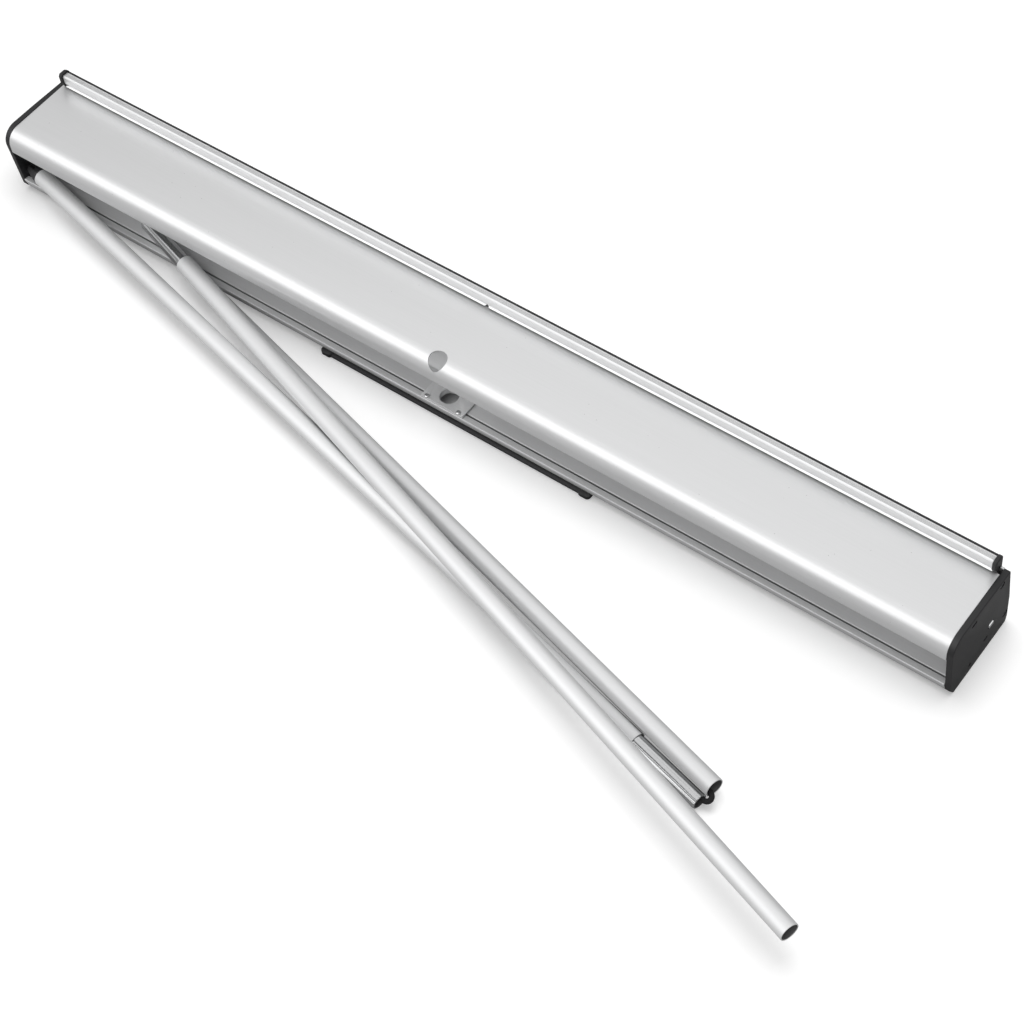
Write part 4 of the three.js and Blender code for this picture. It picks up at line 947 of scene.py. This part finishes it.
def make_shell():
    half = BASE_LENGTH / 2
    outline = shell_outline()
    shell = mesh_along_x("shell_form", [(x, outline) for x in (-half, *SHELL_SECTIONS, half)])
    hole = POLE_RADIUS + POLE_FIT
    lean = Vector((0, NOSE_HOLE_Y - SOCKET_HOLE_Y, DECK_TOP - RECESS_FLOOR_Z))
    start = Vector((0, SOCKET_HOLE_Y, RECESS_FLOOR_Z)) + lean * NOSE_HOLE_START
    cutters = [
        mesh_round("hole", rod_profile(hole, lean.length), start, lean),
        mesh_round(
            "socket_seat", rod_profile(hole + SOCKET_WALL + SEAT_GAP, SOCKET_DEPTH),
            (0, SOCKET_HOLE_Y, SOCKET_BOTTOM - SEAT_GAP), (0, 0, 1)),
        mesh_round(
            "pivot_hole", rod_profile(PIVOT_BOLT_RADIUS + SEAT_GAP, 2 * WALL),
            (FOOT_X, FOOT_Y, UNDERSIDE_Z - PIVOT_CUT_BELOW), (0, 0, 1)),
    ]
    shell = combined(shell, cutters, "DIFFERENCE")
    finish_piece("extruded_base", shell, ["cassette_shell"], "base", "deck_aluminium")


# End caps with a rounded rim, slots, a pin hole and countersunk screw seats
def cap_outline():
    nose = arc(
        CAP_BACK_Y + CAP_NOSE_RADIUS, CAP_NOSE_TOP_Z - CAP_NOSE_RADIUS, CAP_NOSE_RADIUS,
        90, 180, CAP_NOSE_STEPS)
    return fillet([
        (CAP_BOTTOM_BACK_Y, 0), (CAP_BOTTOM_FRONT_Y, 0), (CAP_FRONT_FOOT_Y, CAP_FRONT_FOOT_Z),
        (CAP_FRONT_BULGE_Y, CAP_FRONT_BULGE_Z), (CAP_FRONT_WAIST_Y, CAP_FRONT_WAIST_Z),
        (CAP_TOP_FRONT_Y, CAP_TOP_FRONT_Z), (CAP_TOP_MID_Y, CAP_TOP_MID_Z), *nose,
        (CAP_BACK_FOOT_Y, CAP_BACK_FOOT_Z),
    ], CAP_EDGE)


def make_cap(side, sign):
    inner = BASE_LENGTH / 2 + SEAT_GAP
    outer = inner + CAP_THICKNESS
    outline = cap_outline()
    stations = [(sign * inner, outline), (sign * (outer - CAP_CHAMFER), outline)]
    for back, depth in CAP_EDGE_CURVE:
        stations.append((sign * (outer - back * CAP_CHAMFER), inset(outline, depth * CAP_CHAMFER)))
    housing = ROLL_RADIUS - CAP_HOUSING_CLEARANCE
    housing_bore, end = housing - CAP_HOUSING_WALL, CAP_HOUSING_LENGTH + JOIN_OVERLAP
    ring = mesh_round(
        "housing", [(housing_bore, 0), (housing, 0), (housing, end), (housing_bore, end)],
        (sign * (inner - CAP_HOUSING_LENGTH), ROLLER_Y, ROLLER_Z), (sign, 0, 0), closed=True)
    mesh = combined(mesh_along_x("cap_form", stations), [ring], "UNION")
    cutters = []
    for y, z, length, width in (CAP_LATCH_SLOT, CAP_LOWER_SLOT, AXLE_SLOT):
        slot = fillet([
            (y - length / 2, z - width / 2), (y + length / 2, z - width / 2),
            (y + length / 2, z + width / 2), (y - length / 2, z + width / 2)], CAP_SLOT_EDGE)
        cutters.append(mesh_along_x(
            "slot", [(sign * (inner - CAP_SLOT_REACH), slot), (sign * (outer + CUT_OVERRUN), slot)]))
    cutters.append(mesh_round(
        "pin_hole", rod_profile(CAP_PIN_HOLE_RADIUS, PIN_HOLE_REACH),
        (sign * (inner - CUT_OVERRUN), CAP_PIN_HOLE_Y, CAP_PIN_HOLE_Z), (sign, 0, 0), PIN_SIDES))
    screw_bore = CAP_SCREW_RADIUS + SEAT_GAP
    seat = CAP_SCREW_HEAD_RADIUS + SEAT_GAP
    seat_depth = CAP_SCREW_HEAD_HEIGHT + SEAT_GAP
    for y, z in (UPPER_CHANNEL, LOWER_CHANNEL):
        cutters.append(mesh_round("screw_seat", [
            (0, 0), (screw_bore, 0), (screw_bore, CAP_THICKNESS - SCREW_SEAT_CONE), (seat, CAP_THICKNESS),
            (seat, SCREW_SEAT_REACH), (0, SCREW_SEAT_REACH)],
            (sign * (inner - seat_depth), y, z), (sign, 0, 0), HOLE_SIDES))
    mesh = combined(mesh, cutters, "DIFFERENCE")
    finish_piece(side + "_moulded_end_cap", mesh, [side + "_end_cap"], "base", "black_plastic")


def cross_recess(centre, direction, head, height):
    """Two crossed bars that cut the driver's recess into a screw head of the size given."""
    ahead, side, up = axes_of(direction)
    middle = Vector(centre)
    arm, half_width = head * DRIVER_RECESS_ARM, head * DRIVER_RECESS_WIDTH / 2
    floor_level = -height * DRIVER_RECESS_DEPTH
    bars = []
    for along, across in ((side, up), (up, side)):
        rings = []
        for level, share in ((floor_level, DRIVER_RECESS_TAPER), (DRIVER_RECESS_OVERRUN, 1.0)):
            base = middle + ahead * level
            rings.append([
                place(*(base + along * (a * arm * share) + across * (b * half_width)))
                for a, b in ((-1, -1), (1, -1), (1, 1), (-1, 1))])
        bars.append(mesh_through("bar", rings))
    return bars


def make_screw(name, node, centre, direction, shank, length, head, height, finish=None):
    """A pan-head screw with a cross recess; centre is the middle of the top of its head."""
    ahead = Vector(direction).normalized()
    start = Vector(centre) - ahead * length
    under = length - height
    crown = []
    for degrees in range(0, 90, 10):
        turn = math.radians(degrees)
        rise = HEAD_RIM * height + (1 - HEAD_RIM) * height * math.sin(turn)
        crown.append((head * math.cos(turn), under + rise))
    mesh = mesh_round(name, [
        (0, 0), (shank * SCREW_TIP, 0), (shank, shank * SCREW_TIP), (shank, under), (head, under),
        *crown, (0, length)], start, direction, SCREW_SIDES)
    mesh = combined(mesh, cross_recess(centre, direction, head, height), "DIFFERENCE", SCREW_SHARP_ANGLE)
    finish_piece(name, mesh, [node], "base", "bright_steel", finish)


def make_screws():
    outer = BASE_LENGTH / 2 + SEAT_GAP + CAP_THICKNESS
    plate_shank = PLATE_SCREW_LENGTH + SEAT_GAP + PLATE_SCREW_HEAD_HEIGHT
    plate_top = PLATE_TOP + SEAT_GAP + PLATE_SCREW_HEAD_HEIGHT
    for side, sign in (("left", -1), ("right", 1)):
        for level, (y, z) in (("upper", UPPER_CHANNEL), ("lower", LOWER_CHANNEL)):
            make_screw(
                f"{side}_{level}_pan_screw", f"{side}_cap_screw_{level}",
                (sign * outer, y, z), (sign, 0, 0), CAP_SCREW_RADIUS, CAP_SCREW_LENGTH,
                CAP_SCREW_HEAD_RADIUS, CAP_SCREW_HEAD_HEIGHT, BLACK_ZINC)
        make_screw(
            f"{side}_plate_screw", f"socket_screw_{side}",
            (PLATE_X + sign * PLATE_SCREW_X, PLATE_SCREW_Y, plate_top), (0, 0, 1),
            PLATE_SCREW_RADIUS, plate_shank, PLATE_SCREW_HEAD_RADIUS, PLATE_SCREW_HEAD_HEIGHT)


# Top rail: ribbed channel, clamp strip and domed end caps
def rail_outline(shelf):
    top = RAIL_BOTTOM_Z + RAIL_HEIGHT
    foot_top = RAIL_BOTTOM_Z + RAIL_FOOT_TOP
    face_low = RAIL_BOTTOM_Z + RAIL_FACE_LOW
    groove_y = RAIL_FRONT_Y + RAIL_GROOVE_DEPTH
    hollow_top = top - 2 * RAIL_WALL
    ridge_y = RAIL_FRONT_Y + RAIL_FRONT_RIDGE
    back_ridge_y = RAIL_BACK_Y - RAIL_BACK_RIDGE
    return fillet([
        (RAIL_FRONT_Y, RAIL_BOTTOM_Z + RAIL_FOOT_LOW), (RAIL_FRONT_Y, RAIL_BOTTOM_Z + RAIL_FOOT_HIGH),
        (RAIL_FRONT_Y + RAIL_FOOT_SLANT, foot_top), (groove_y, foot_top),
        (groove_y, face_low - RAIL_FACE_SLANT), (RAIL_FRONT_Y, face_low),
        (RAIL_FRONT_Y, top - RAIL_CHAMFER_DROP), (RAIL_FRONT_Y + RAIL_CHAMFER, top),
        (ridge_y, top), (ridge_y + RAIL_RIDGE_SLANT, shelf),
        (back_ridge_y - RAIL_RIDGE_SLANT, shelf), (back_ridge_y, top), (RAIL_BACK_Y, top),
        (RAIL_BACK_Y, RAIL_BOTTOM_Z + RAIL_WALL), (RAIL_BACK_Y - RAIL_WALL, RAIL_BOTTOM_Z + RAIL_WALL),
        (RAIL_BACK_Y - RAIL_WALL, hollow_top), (groove_y + RAIL_WALL, hollow_top),
        (groove_y + RAIL_WALL, RAIL_BOTTOM_Z),
    ], RAIL_EDGE, steps=3)


def make_rail():
    half = RAIL_LENGTH / 2
    shelf = RAIL_BOTTOM_Z + RAIL_HEIGHT - RIB_HEIGHT
    outline = rail_outline(shelf)
    mesh = mesh_along_x("rail_form", [(-half, outline), (half, outline)])
    notch = mesh_round(
        "notch", rod_profile(RAIL_NOTCH_WIDTH / 2, 4 * RAIL_WALL),
        (RAIL_NOTCH_X, RAIL_FRONT_Y - RAIL_WALL, RAIL_BOTTOM_Z), (0, 1, 0), HOLE_SIDES)
    first = place(0, RAIL_FRONT_Y + FIRST_RIB, shelf + (RIB_HEIGHT - RIB_SUNK) / 2)
    ribbed = grown(
        combined(mesh, [notch], "DIFFERENCE"), RIB_ROW, SHARP_ANGLE, Ribs=RIBS,
        Spacing=(0.0, RIB_PITCH * MM, 0.0), First_rib=tuple(first),
        Rib_size=(RAIL_LENGTH * MM, RIB_WIDTH * MM, (RIB_HEIGHT + RIB_SUNK) * MM),
        Material=FINISHES["rail_aluminium"])
    finish_piece("ribbed_top_rail", ribbed, ["top_rail"], "banner_rail", "rail_aluminium")


def make_strip():
    half = RAIL_LENGTH / 2
    back, top = CLAMP_Y + STRIP_THICKNESS, RAIL_BOTTOM_Z + STRIP_HEIGHT
    outline = fillet([
        (CLAMP_Y, RAIL_BOTTOM_Z), (back, RAIL_BOTTOM_Z), (back, top), (CLAMP_Y, top)], STRIP_EDGE)
    mesh = mesh_along_x("strip_form", [(-half, outline), (half, outline)])
    finish_piece("moulded_clamp_strip", mesh, ["rail_clamp_strip"], "banner_rail", "black_plastic")


def make_rail_caps():
    """The right cap, with a rounded outer edge and a recess, and the left one as its mirror image."""
    outline = fillet([
        (RAIL_CAP_FOOT_Y, RAIL_BOTTOM_Z), (RAIL_CAP_BACK_Y, RAIL_BOTTOM_Z),
        (RAIL_CAP_BACK_Y, RAIL_CAP_SHOULDER_Z), (RAIL_CAP_TOP_BACK_Y, RAIL_CAP_TOP_Z),
        (RAIL_CAP_TOP_FRONT_Y, RAIL_CAP_TOP_Z), (RAIL_CAP_FRONT_Y, RAIL_CAP_SHOULDER_Z),
        (RAIL_CAP_FRONT_Y, RAIL_CAP_CHIN_Z)], RAIL_CAP_EDGE)
    inner = RAIL_LENGTH / 2 + SEAT_GAP
    outer = inner + RAIL_CAP_THICKNESS
    stations = [(inner, outline)]
    for degrees in range(0, 91, 15):
        turn = math.radians(degrees)
        x = outer - RAIL_CAP_DOME + RAIL_CAP_DOME * math.sin(turn)
        stations.append((x, inset(outline, RAIL_CAP_DOME * (1 - math.cos(turn)))))
    front, back = RAIL_CAP_RECESS_FRONT_Y, RAIL_CAP_RECESS_BACK_Y
    recess = fillet([
        (front, RAIL_CAP_RECESS_LOW_Z), (back, RAIL_CAP_RECESS_LOW_Z),
        (back, RAIL_CAP_CHIN_Z), (front, RAIL_CAP_CHIN_Z)], CAP_SLOT_EDGE)
    cutter = mesh_along_x(
        "recess", [(outer - RAIL_CAP_RECESS, recess), (outer + RAIL_CAP_RECESS_OVERRUN, recess)])
    right = combined(mesh_along_x("rail_cap_form", stations), [cutter], "DIFFERENCE")
    left = right.copy()
    middle = place(0, 0, 0)[0]
    for vertex in left.vertices:
        vertex.co.x = 2 * middle - vertex.co.x
    left.flip_normals()
    finish_piece("right_domed_rail_cap", right, ["rail_cap_right"], "banner_rail", "black_plastic")
    finish_piece("left_domed_rail_cap", left, ["rail_cap_left"], "banner_rail", "black_plastic")


# Poles: drawn tubes with rounded rims, and fluted ferrules
def pole_line(start, end):
    a, b = Vector(start), Vector(end)
    return a, (b - a).normalized(), (b - a).length


def paint_bore_shade(mesh, first, last):
    """Gives the faces of a bore a near-black colour: painted shade that stands in for the shade inside the
    tube.
    """
    mesh.materials.append(PAINTED_BORE_SHADE)
    for polygon in mesh.polygons[first:last]:
        polygon.material_index = 1


def make_tube(name, node, body, start, ahead, length):
    bore = POLE_RADIUS - POLE_WALL
    curve = RIM_SHARE * POLE_RIM
    ends = [
        (bore, POLE_RIM), (bore + curve, curve), (bore + POLE_RIM, 0), (POLE_RADIUS - POLE_RIM, 0),
        (POLE_RADIUS - curve, curve), (POLE_RADIUS, POLE_RIM)]
    profile = ends + [(radius, length - distance) for radius, distance in reversed(ends)]
    mesh = mesh_round(name, profile, start, ahead, closed=True)
    finish_piece(name, mesh, [node], body, "tube_aluminium")
    paint_bore_shade(mesh, len(mesh.polygons) - ROUND_SIDES, len(mesh.polygons))


def make_ferrule(name, node, body, start, ahead, shown):
    """The round stretch seats in the tube; the flutes run from the tube's rim to the rolled tip."""
    sides = FERRULE_FLUTES * STEPS_PER_FLUTE
    fit, bore = FERRULE_FIT, FERRULE_BORE
    profile = [(fit, -FERRULE_SEATED), (fit, FLUTES_START), (fit, FLUTES_FULL), (fit, shown - FERRULE_TIP)]
    for degrees in range(0, 91, 15):
        turn = math.radians(degrees)
        radius = fit - FERRULE_WALL * (1 - math.cos(turn))
        profile.append((radius, shown - FERRULE_ROLL + FERRULE_ROLL * math.sin(turn)))
    profile += [(bore, shown - FERRULE_LIP), (bore, -FERRULE_SEATED)]
    turns = [2 * math.pi * k / sides for k in range(sides)]
    rings = [
        [Vector((radius * math.cos(t), radius * math.sin(t), distance)) * MM for t in turns]
        for radius, distance in profile]
    mesh = mesh_through(name, rings, ends=False, round_again=True)
    mesh = grown(
        mesh, FLUTE_RING, FLUTE_SHARP_ANGLE, Flutes=FERRULE_FLUTES,
        Depth=FLUTE_DEPTH_SHARE * FERRULE_FLUTE_DEPTH * MM, Half_width_share=FLUTE_HALF_SHARE,
        Start=FLUTES_START * MM, Full=FLUTES_FULL * MM, Inner_radius=(fit - FERRULE_WALL) * MM,
        Outer_radius=(fit - FLUTE_SKIN) * MM, Material=FERRULE_FINISH)
    direction, side, up = axes_of(ahead)
    turned = Matrix((side, up, direction)).transposed().to_4x4()
    mesh.transform(Matrix.Translation(place(*start)) @ turned)
    finish_piece(name, mesh, [node], body, "bright_steel", FERRULE_FINISH)
    paint_bore_shade(mesh, len(mesh.polygons) - 2 * sides, len(mesh.polygons) - sides)


def make_pole(name, first_end, last_end, shown):
    """A section's tube, and the ferrule that shows beyond the tube's last end, where it has one."""
    start, ahead, length = pole_line(first_end, last_end)
    body = name + "_pole"
    make_tube(f"{name}_drawn_tube", f"pole_{name}_tube", body, start, ahead, length - shown)
    if shown:
        seat = start + ahead * (length - shown)
        make_ferrule(f"{name}_fluted_ferrule", f"pole_{name}_ferrule", body, seat, ahead, shown)


def make_poles():
    make_pole("top", TOP_UPPER_END, TOP_FERRULE_END, TOP_FERRULE_SHOWN)
    hook = softened("pole_top_hook_cap", HOOK_CAP_EDGE)
    finish_piece("moulded_hook_cap", hook, ["pole_top_hook_cap"], "top_pole", "black_plastic")
    make_pole("middle", MIDDLE_LOWER_END, MIDDLE_UPPER_END, 0.0)
    make_pole("bottom", BOTTOM_LOWER_END, BOTTOM_FERRULE_END, BOTTOM_FERRULE_SHOWN)


# Elastic cord: braided, with the strands raised where they cross
def near_side(mouth, ahead, other, bore):
    """How far a cord lies off the middle of a bore when it is pulled towards another mouth."""
    toward = Vector(other) - Vector(mouth)
    toward = (toward - ahead * toward.dot(ahead)).normalized()
    return toward * (bore - CORD_RADIUS - SEAT_GAP)


def braided(name, centres):
    """A braided cord through closely set points, in millimetres."""
    normal = Vector((0, 0, 1)).cross(centres[1] - centres[0]).normalized()
    rings = []
    run = 0.0
    for i, centre in enumerate(centres):
        ahead = (centres[min(i + 1, len(centres) - 1)] - centres[max(i - 1, 0)]).normalized()
        normal = (normal - ahead * normal.dot(ahead)).normalized()
        side = ahead.cross(normal)
        if i:
            run += (centre - centres[i - 1]).length
        ring = []
        for k in range(CORD_SIDES):
            turn = 2 * math.pi * k / CORD_SIDES
            around, along = BRAID_STRANDS * turn, BRAID_LAY * run
            strand = max(math.cos(around + along), math.cos(around - along))
            radius = CORD_RADIUS * (1 - BRAID_RELIEF + BRAID_RELIEF * strand)
            ring.append(place(*(centre + (normal * math.cos(turn) + side * math.sin(turn)) * radius)))
        rings.append(ring)
    return mesh_through(name, rings, angle=180.0)


def stations_between(a, b, step):
    count = max(2, round((b - a).length / step))
    return [a.lerp(b, i / count) for i in range(count + 1)]


def curve_between(start, handle_a, handle_b, end, steps):
    """Points on a cubic curve from start to end."""
    points = []
    for i in range(steps + 1):
        s = i / steps
        points.append(
            start * (1 - s) ** 3 + handle_a * (3 * s * (1 - s) ** 2)
            + handle_b * (3 * s * s * (1 - s)) + end * s ** 3)
    return points


def make_cord():
    top_start, top_ahead, top_length = pole_line(TOP_UPPER_END, TOP_FERRULE_END)
    low, middle_ahead, middle_length = pole_line(MIDDLE_LOWER_END, MIDDLE_UPPER_END)
    mouth = Vector(TOP_FERRULE_END)
    top_side = near_side(mouth, top_ahead, low, FERRULE_BORE)
    middle_side = near_side(low, middle_ahead, mouth, POLE_RADIUS - POLE_WALL)
    anchor_end = ANCHOR_INSET + ANCHOR_LENGTH + SEAT_GAP
    start = mouth + top_side + top_ahead * SEAT_GAP
    end = low + middle_ahead * LOOP_MOUTH_INSET + middle_side
    loop = curve_between(
        start, start + top_ahead * LOOP_HANDLE, end - middle_ahead * LOOP_HANDLE, end, LOOP_STEPS)
    anchored = low + middle_ahead * (middle_length - anchor_end)
    centres = loop + stations_between(end, anchored, CORD_STEP)[1:]
    cord = finish_piece(
        "braided_elastic_cord", braided("cord_form", centres), ["elastic_cord"], "middle_pole", "elastic")
    inner = top_start + top_ahead * (HOOK_CAP_PLUG_LENGTH + anchor_end)
    outer = top_start + top_ahead * (top_length - CORD_END_INSET) + top_side
    centres = stations_between(outer, inner, CORD_STEP)
    mesh = braided("inner_cord_form", centres)
    cord = finish_piece("braided_cord_in_top_pole", mesh, ["cord_in_top_pole"], "top_pole", "elastic")


# Banner: what is wound on the roller, and the stretch that runs up to the rail
def make_roll():
    """The wound banner, whose ends show its layers as steps one fabric's thickness deep."""
    half = BANNER_WIDTH / 2
    core = ROLLER_RADIUS + SEAT_GAP
    wound = []
    for end, sign in ((-half, 1), (half, -1)):
        steps = []
        for i in range(ROLL_LAYERS + 1):
            radius = core + (ROLL_RADIUS - core) * i / ROLL_LAYERS
            steps.append((radius, end + sign * (FABRIC_THICKNESS if i % 2 else 0.0)))
        wound += steps if end < 0 else list(reversed(steps))
    roll = mesh_round(
        "roll_form", wound, (0, ROLLER_Y, ROLLER_Z), (1, 0, 0), closed=True, angle=ROLL_SHARP_ANGLE)
    finish_piece("wound_banner", roll, ["banner_roll"], "roller", "banner_fabric")


def make_sheet():
    """The stretch of banner that leaves the roll at a tangent and bends up between rail and strip."""
    half = BANNER_WIDTH / 2
    radius = ROLL_RADIUS + SEAT_GAP + FABRIC_THICKNESS / 2
    bend = Vector((SHEET_Y, DECK_TOP - WALL))
    reach = Vector((SHEET_Y - ROLLER_Y, DECK_TOP - WALL - ROLLER_Z))
    angle = math.atan2(reach.y, reach.x) - math.acos(radius / reach.length)
    first = Vector((ROLLER_Y + radius * math.cos(angle), ROLLER_Z + radius * math.sin(angle)))
    last = Vector((SHEET_Y, RAIL_BOTTOM_Z + SHEET_RAIL_ENGAGEMENT))
    line = [first.lerp(bend, i / SHEET_SLANT_STEPS) for i in range(SHEET_SLANT_STEPS)]
    line += [bend.lerp(last, i / SHEET_RISE_STEPS) for i in range(SHEET_RISE_STEPS + 1)]
    widths = [BANNER_WIDTH * i / SHEET_ACROSS for i in range(SHEET_ACROSS + 1)]
    rings = []
    for y, z in line:
        ring = [place(-half + width, y + FABRIC_THICKNESS / 2, z) for width in widths]
        ring += [place(half - width, y - FABRIC_THICKNESS / 2, z) for width in widths]
        rings.append(ring)
    mesh = mesh_through("sheet_form", rings, angle=SHEET_SHARP_ANGLE)
    sheet = finish_piece("banner_stretch", mesh, ["banner_sheet"], None, "banner_fabric")
    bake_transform(sheet)


# Pieces that keep the solid model's form: name, node, body, slot and how wide their edges are rounded
SOFTENED_PIECES = (
    ("formed_socket_plate", "pole_socket_plate", "base", "rail_aluminium", 0.25),
    ("coated_foot_bar", "swivel_foot_bar", "foot", "black_steel", 0.4),
    ("right_moulded_foot_pad", "foot_pad_right", "foot", "black_plastic", 0.5),
    ("left_moulded_foot_pad", "foot_pad_left", "foot", "black_plastic", 0.5),
    ("pivot_bolt", "foot_pivot_bolt", "base", "bright_steel", 0.25),
    ("pivot_nut", "foot_pivot_nut", "base", "bright_steel", 0.3),
    ("flatted_idler_axle", "idler_axle", "base", "bright_steel", 0.25),
    ("flatted_spring_axle", "spring_axle", "base", "bright_steel", 0.25),
)


def make_softened():
    for name, node, body, slot, edge in SOFTENED_PIECES:
        finish_piece(name, softened(node, edge), [node], body, slot)


make_cord()
make_shell()
for cap_side, cap_sign in (("left", -1), ("right", 1)):
    make_cap(cap_side, cap_sign)
make_screws()
make_rail()
make_strip()
make_rail_caps()
make_poles()
make_roll()
make_sheet()
make_softened()


# Floor, backdrop and light
def make_floor():
    """A white floor that keeps its shadows; what reflects it sees a darker, plainer one."""
    mesh = bpy.data.meshes.new("floor")
    corners = [(a * FLOOR_REACH, b * FLOOR_REACH, 0.0) for a, b in ((-1, -1), (1, -1), (1, 1), (-1, 1))]
    mesh.from_pydata(corners, [], [(0, 1, 2, 3)])
    floor = new_object("floor", mesh)
    floor.location.z = -FLOOR_DROP
    material, nodes, links, shader = new_material("floor")
    shader.inputs["Base Color"].default_value = (FLOOR_WHITE,) * 3 + (1.0,)
    shader.inputs["Roughness"].default_value = 1.0
    shader.inputs["Specular IOR Level"].default_value = 0.0
    shader.inputs["Emission Color"].default_value = (1.0, 1.0, 1.0, 1.0)
    shader.inputs["Emission Strength"].default_value = FLOOR_GLOW
    dim = add(nodes, "ShaderNodeBsdfDiffuse", Color=(FLOOR_SEEN_BY_REFLECTIONS,) * 3 + (1.0,))
    path = nodes.new("ShaderNodeLightPath")
    mix = nodes.new("ShaderNodeMixShader")
    links.new(path.outputs["Is Camera Ray"], mix.inputs["Fac"])
    links.new(dim.outputs["BSDF"], mix.inputs[1])
    links.new(shader.outputs["BSDF"], mix.inputs[2])
    output = next(n for n in nodes if n.type == "OUTPUT_MATERIAL")
    links.new(mix.outputs["Shader"], output.inputs["Surface"])
    floor.data.materials.append(material)
    return floor


def link_light(light, thing, state):
    """Lets a light reach one object alone, or all but that one. Everything still casts its shadow."""
    linked = bpy.data.collections.new(f"{light.name}_linked")
    linked.objects.link(thing)
    light.light_linking.receiver_collection = linked
    linked.collection_objects[0].light_linking.link_state = state


def make_world():
    world = bpy.data.worlds.new("studio")
    bpy.context.scene.world = world
    world.use_nodes = True
    background = world.node_tree.nodes["Background"]
    background.inputs["Color"].default_value = (1.0, 1.0, 1.0, 1.0)
    background.inputs["Strength"].default_value = WORLD_STRENGTH


def make_light(name, where, towards, size, brightness):
    """A rectangular light whose face is as bright as the given value, where 1 is white."""
    data = bpy.data.lights.new(name, "AREA")
    data.shape = "RECTANGLE"
    data.size, data.size_y = size
    data.energy = brightness * math.pi * size[0] * size[1]
    light = bpy.data.objects.new(name, data)
    light.location = Vector(where)
    light.rotation_euler = (Vector(towards) - Vector(where)).to_track_quat("-Z", "Y").to_euler()
    bpy.context.collection.objects.link(light)
    return light


white_floor = make_floor()
make_world()
make_light("overhead", where=(0.1, 0.9, 2.3), towards=(0.0, 0.5, 0.0), size=(4.2, 3.2), brightness=0.7)
front = make_light(
    "front", where=(-0.9, -1.8, 1.85), towards=(-0.3, 0.0, 0.05), size=(4.5, 2.5), brightness=1.8)
link_light(front, white_floor, "EXCLUDE")
floor_key = make_light(
    "floor_key", where=(0.1, 0.3, 2.3), towards=(-0.1, -0.1, 0.0), size=(1.2, 1.2), brightness=4.1)
link_light(floor_key, white_floor, "INCLUDE")

scene = bpy.context.scene
scene.view_settings.view_transform = "Standard"
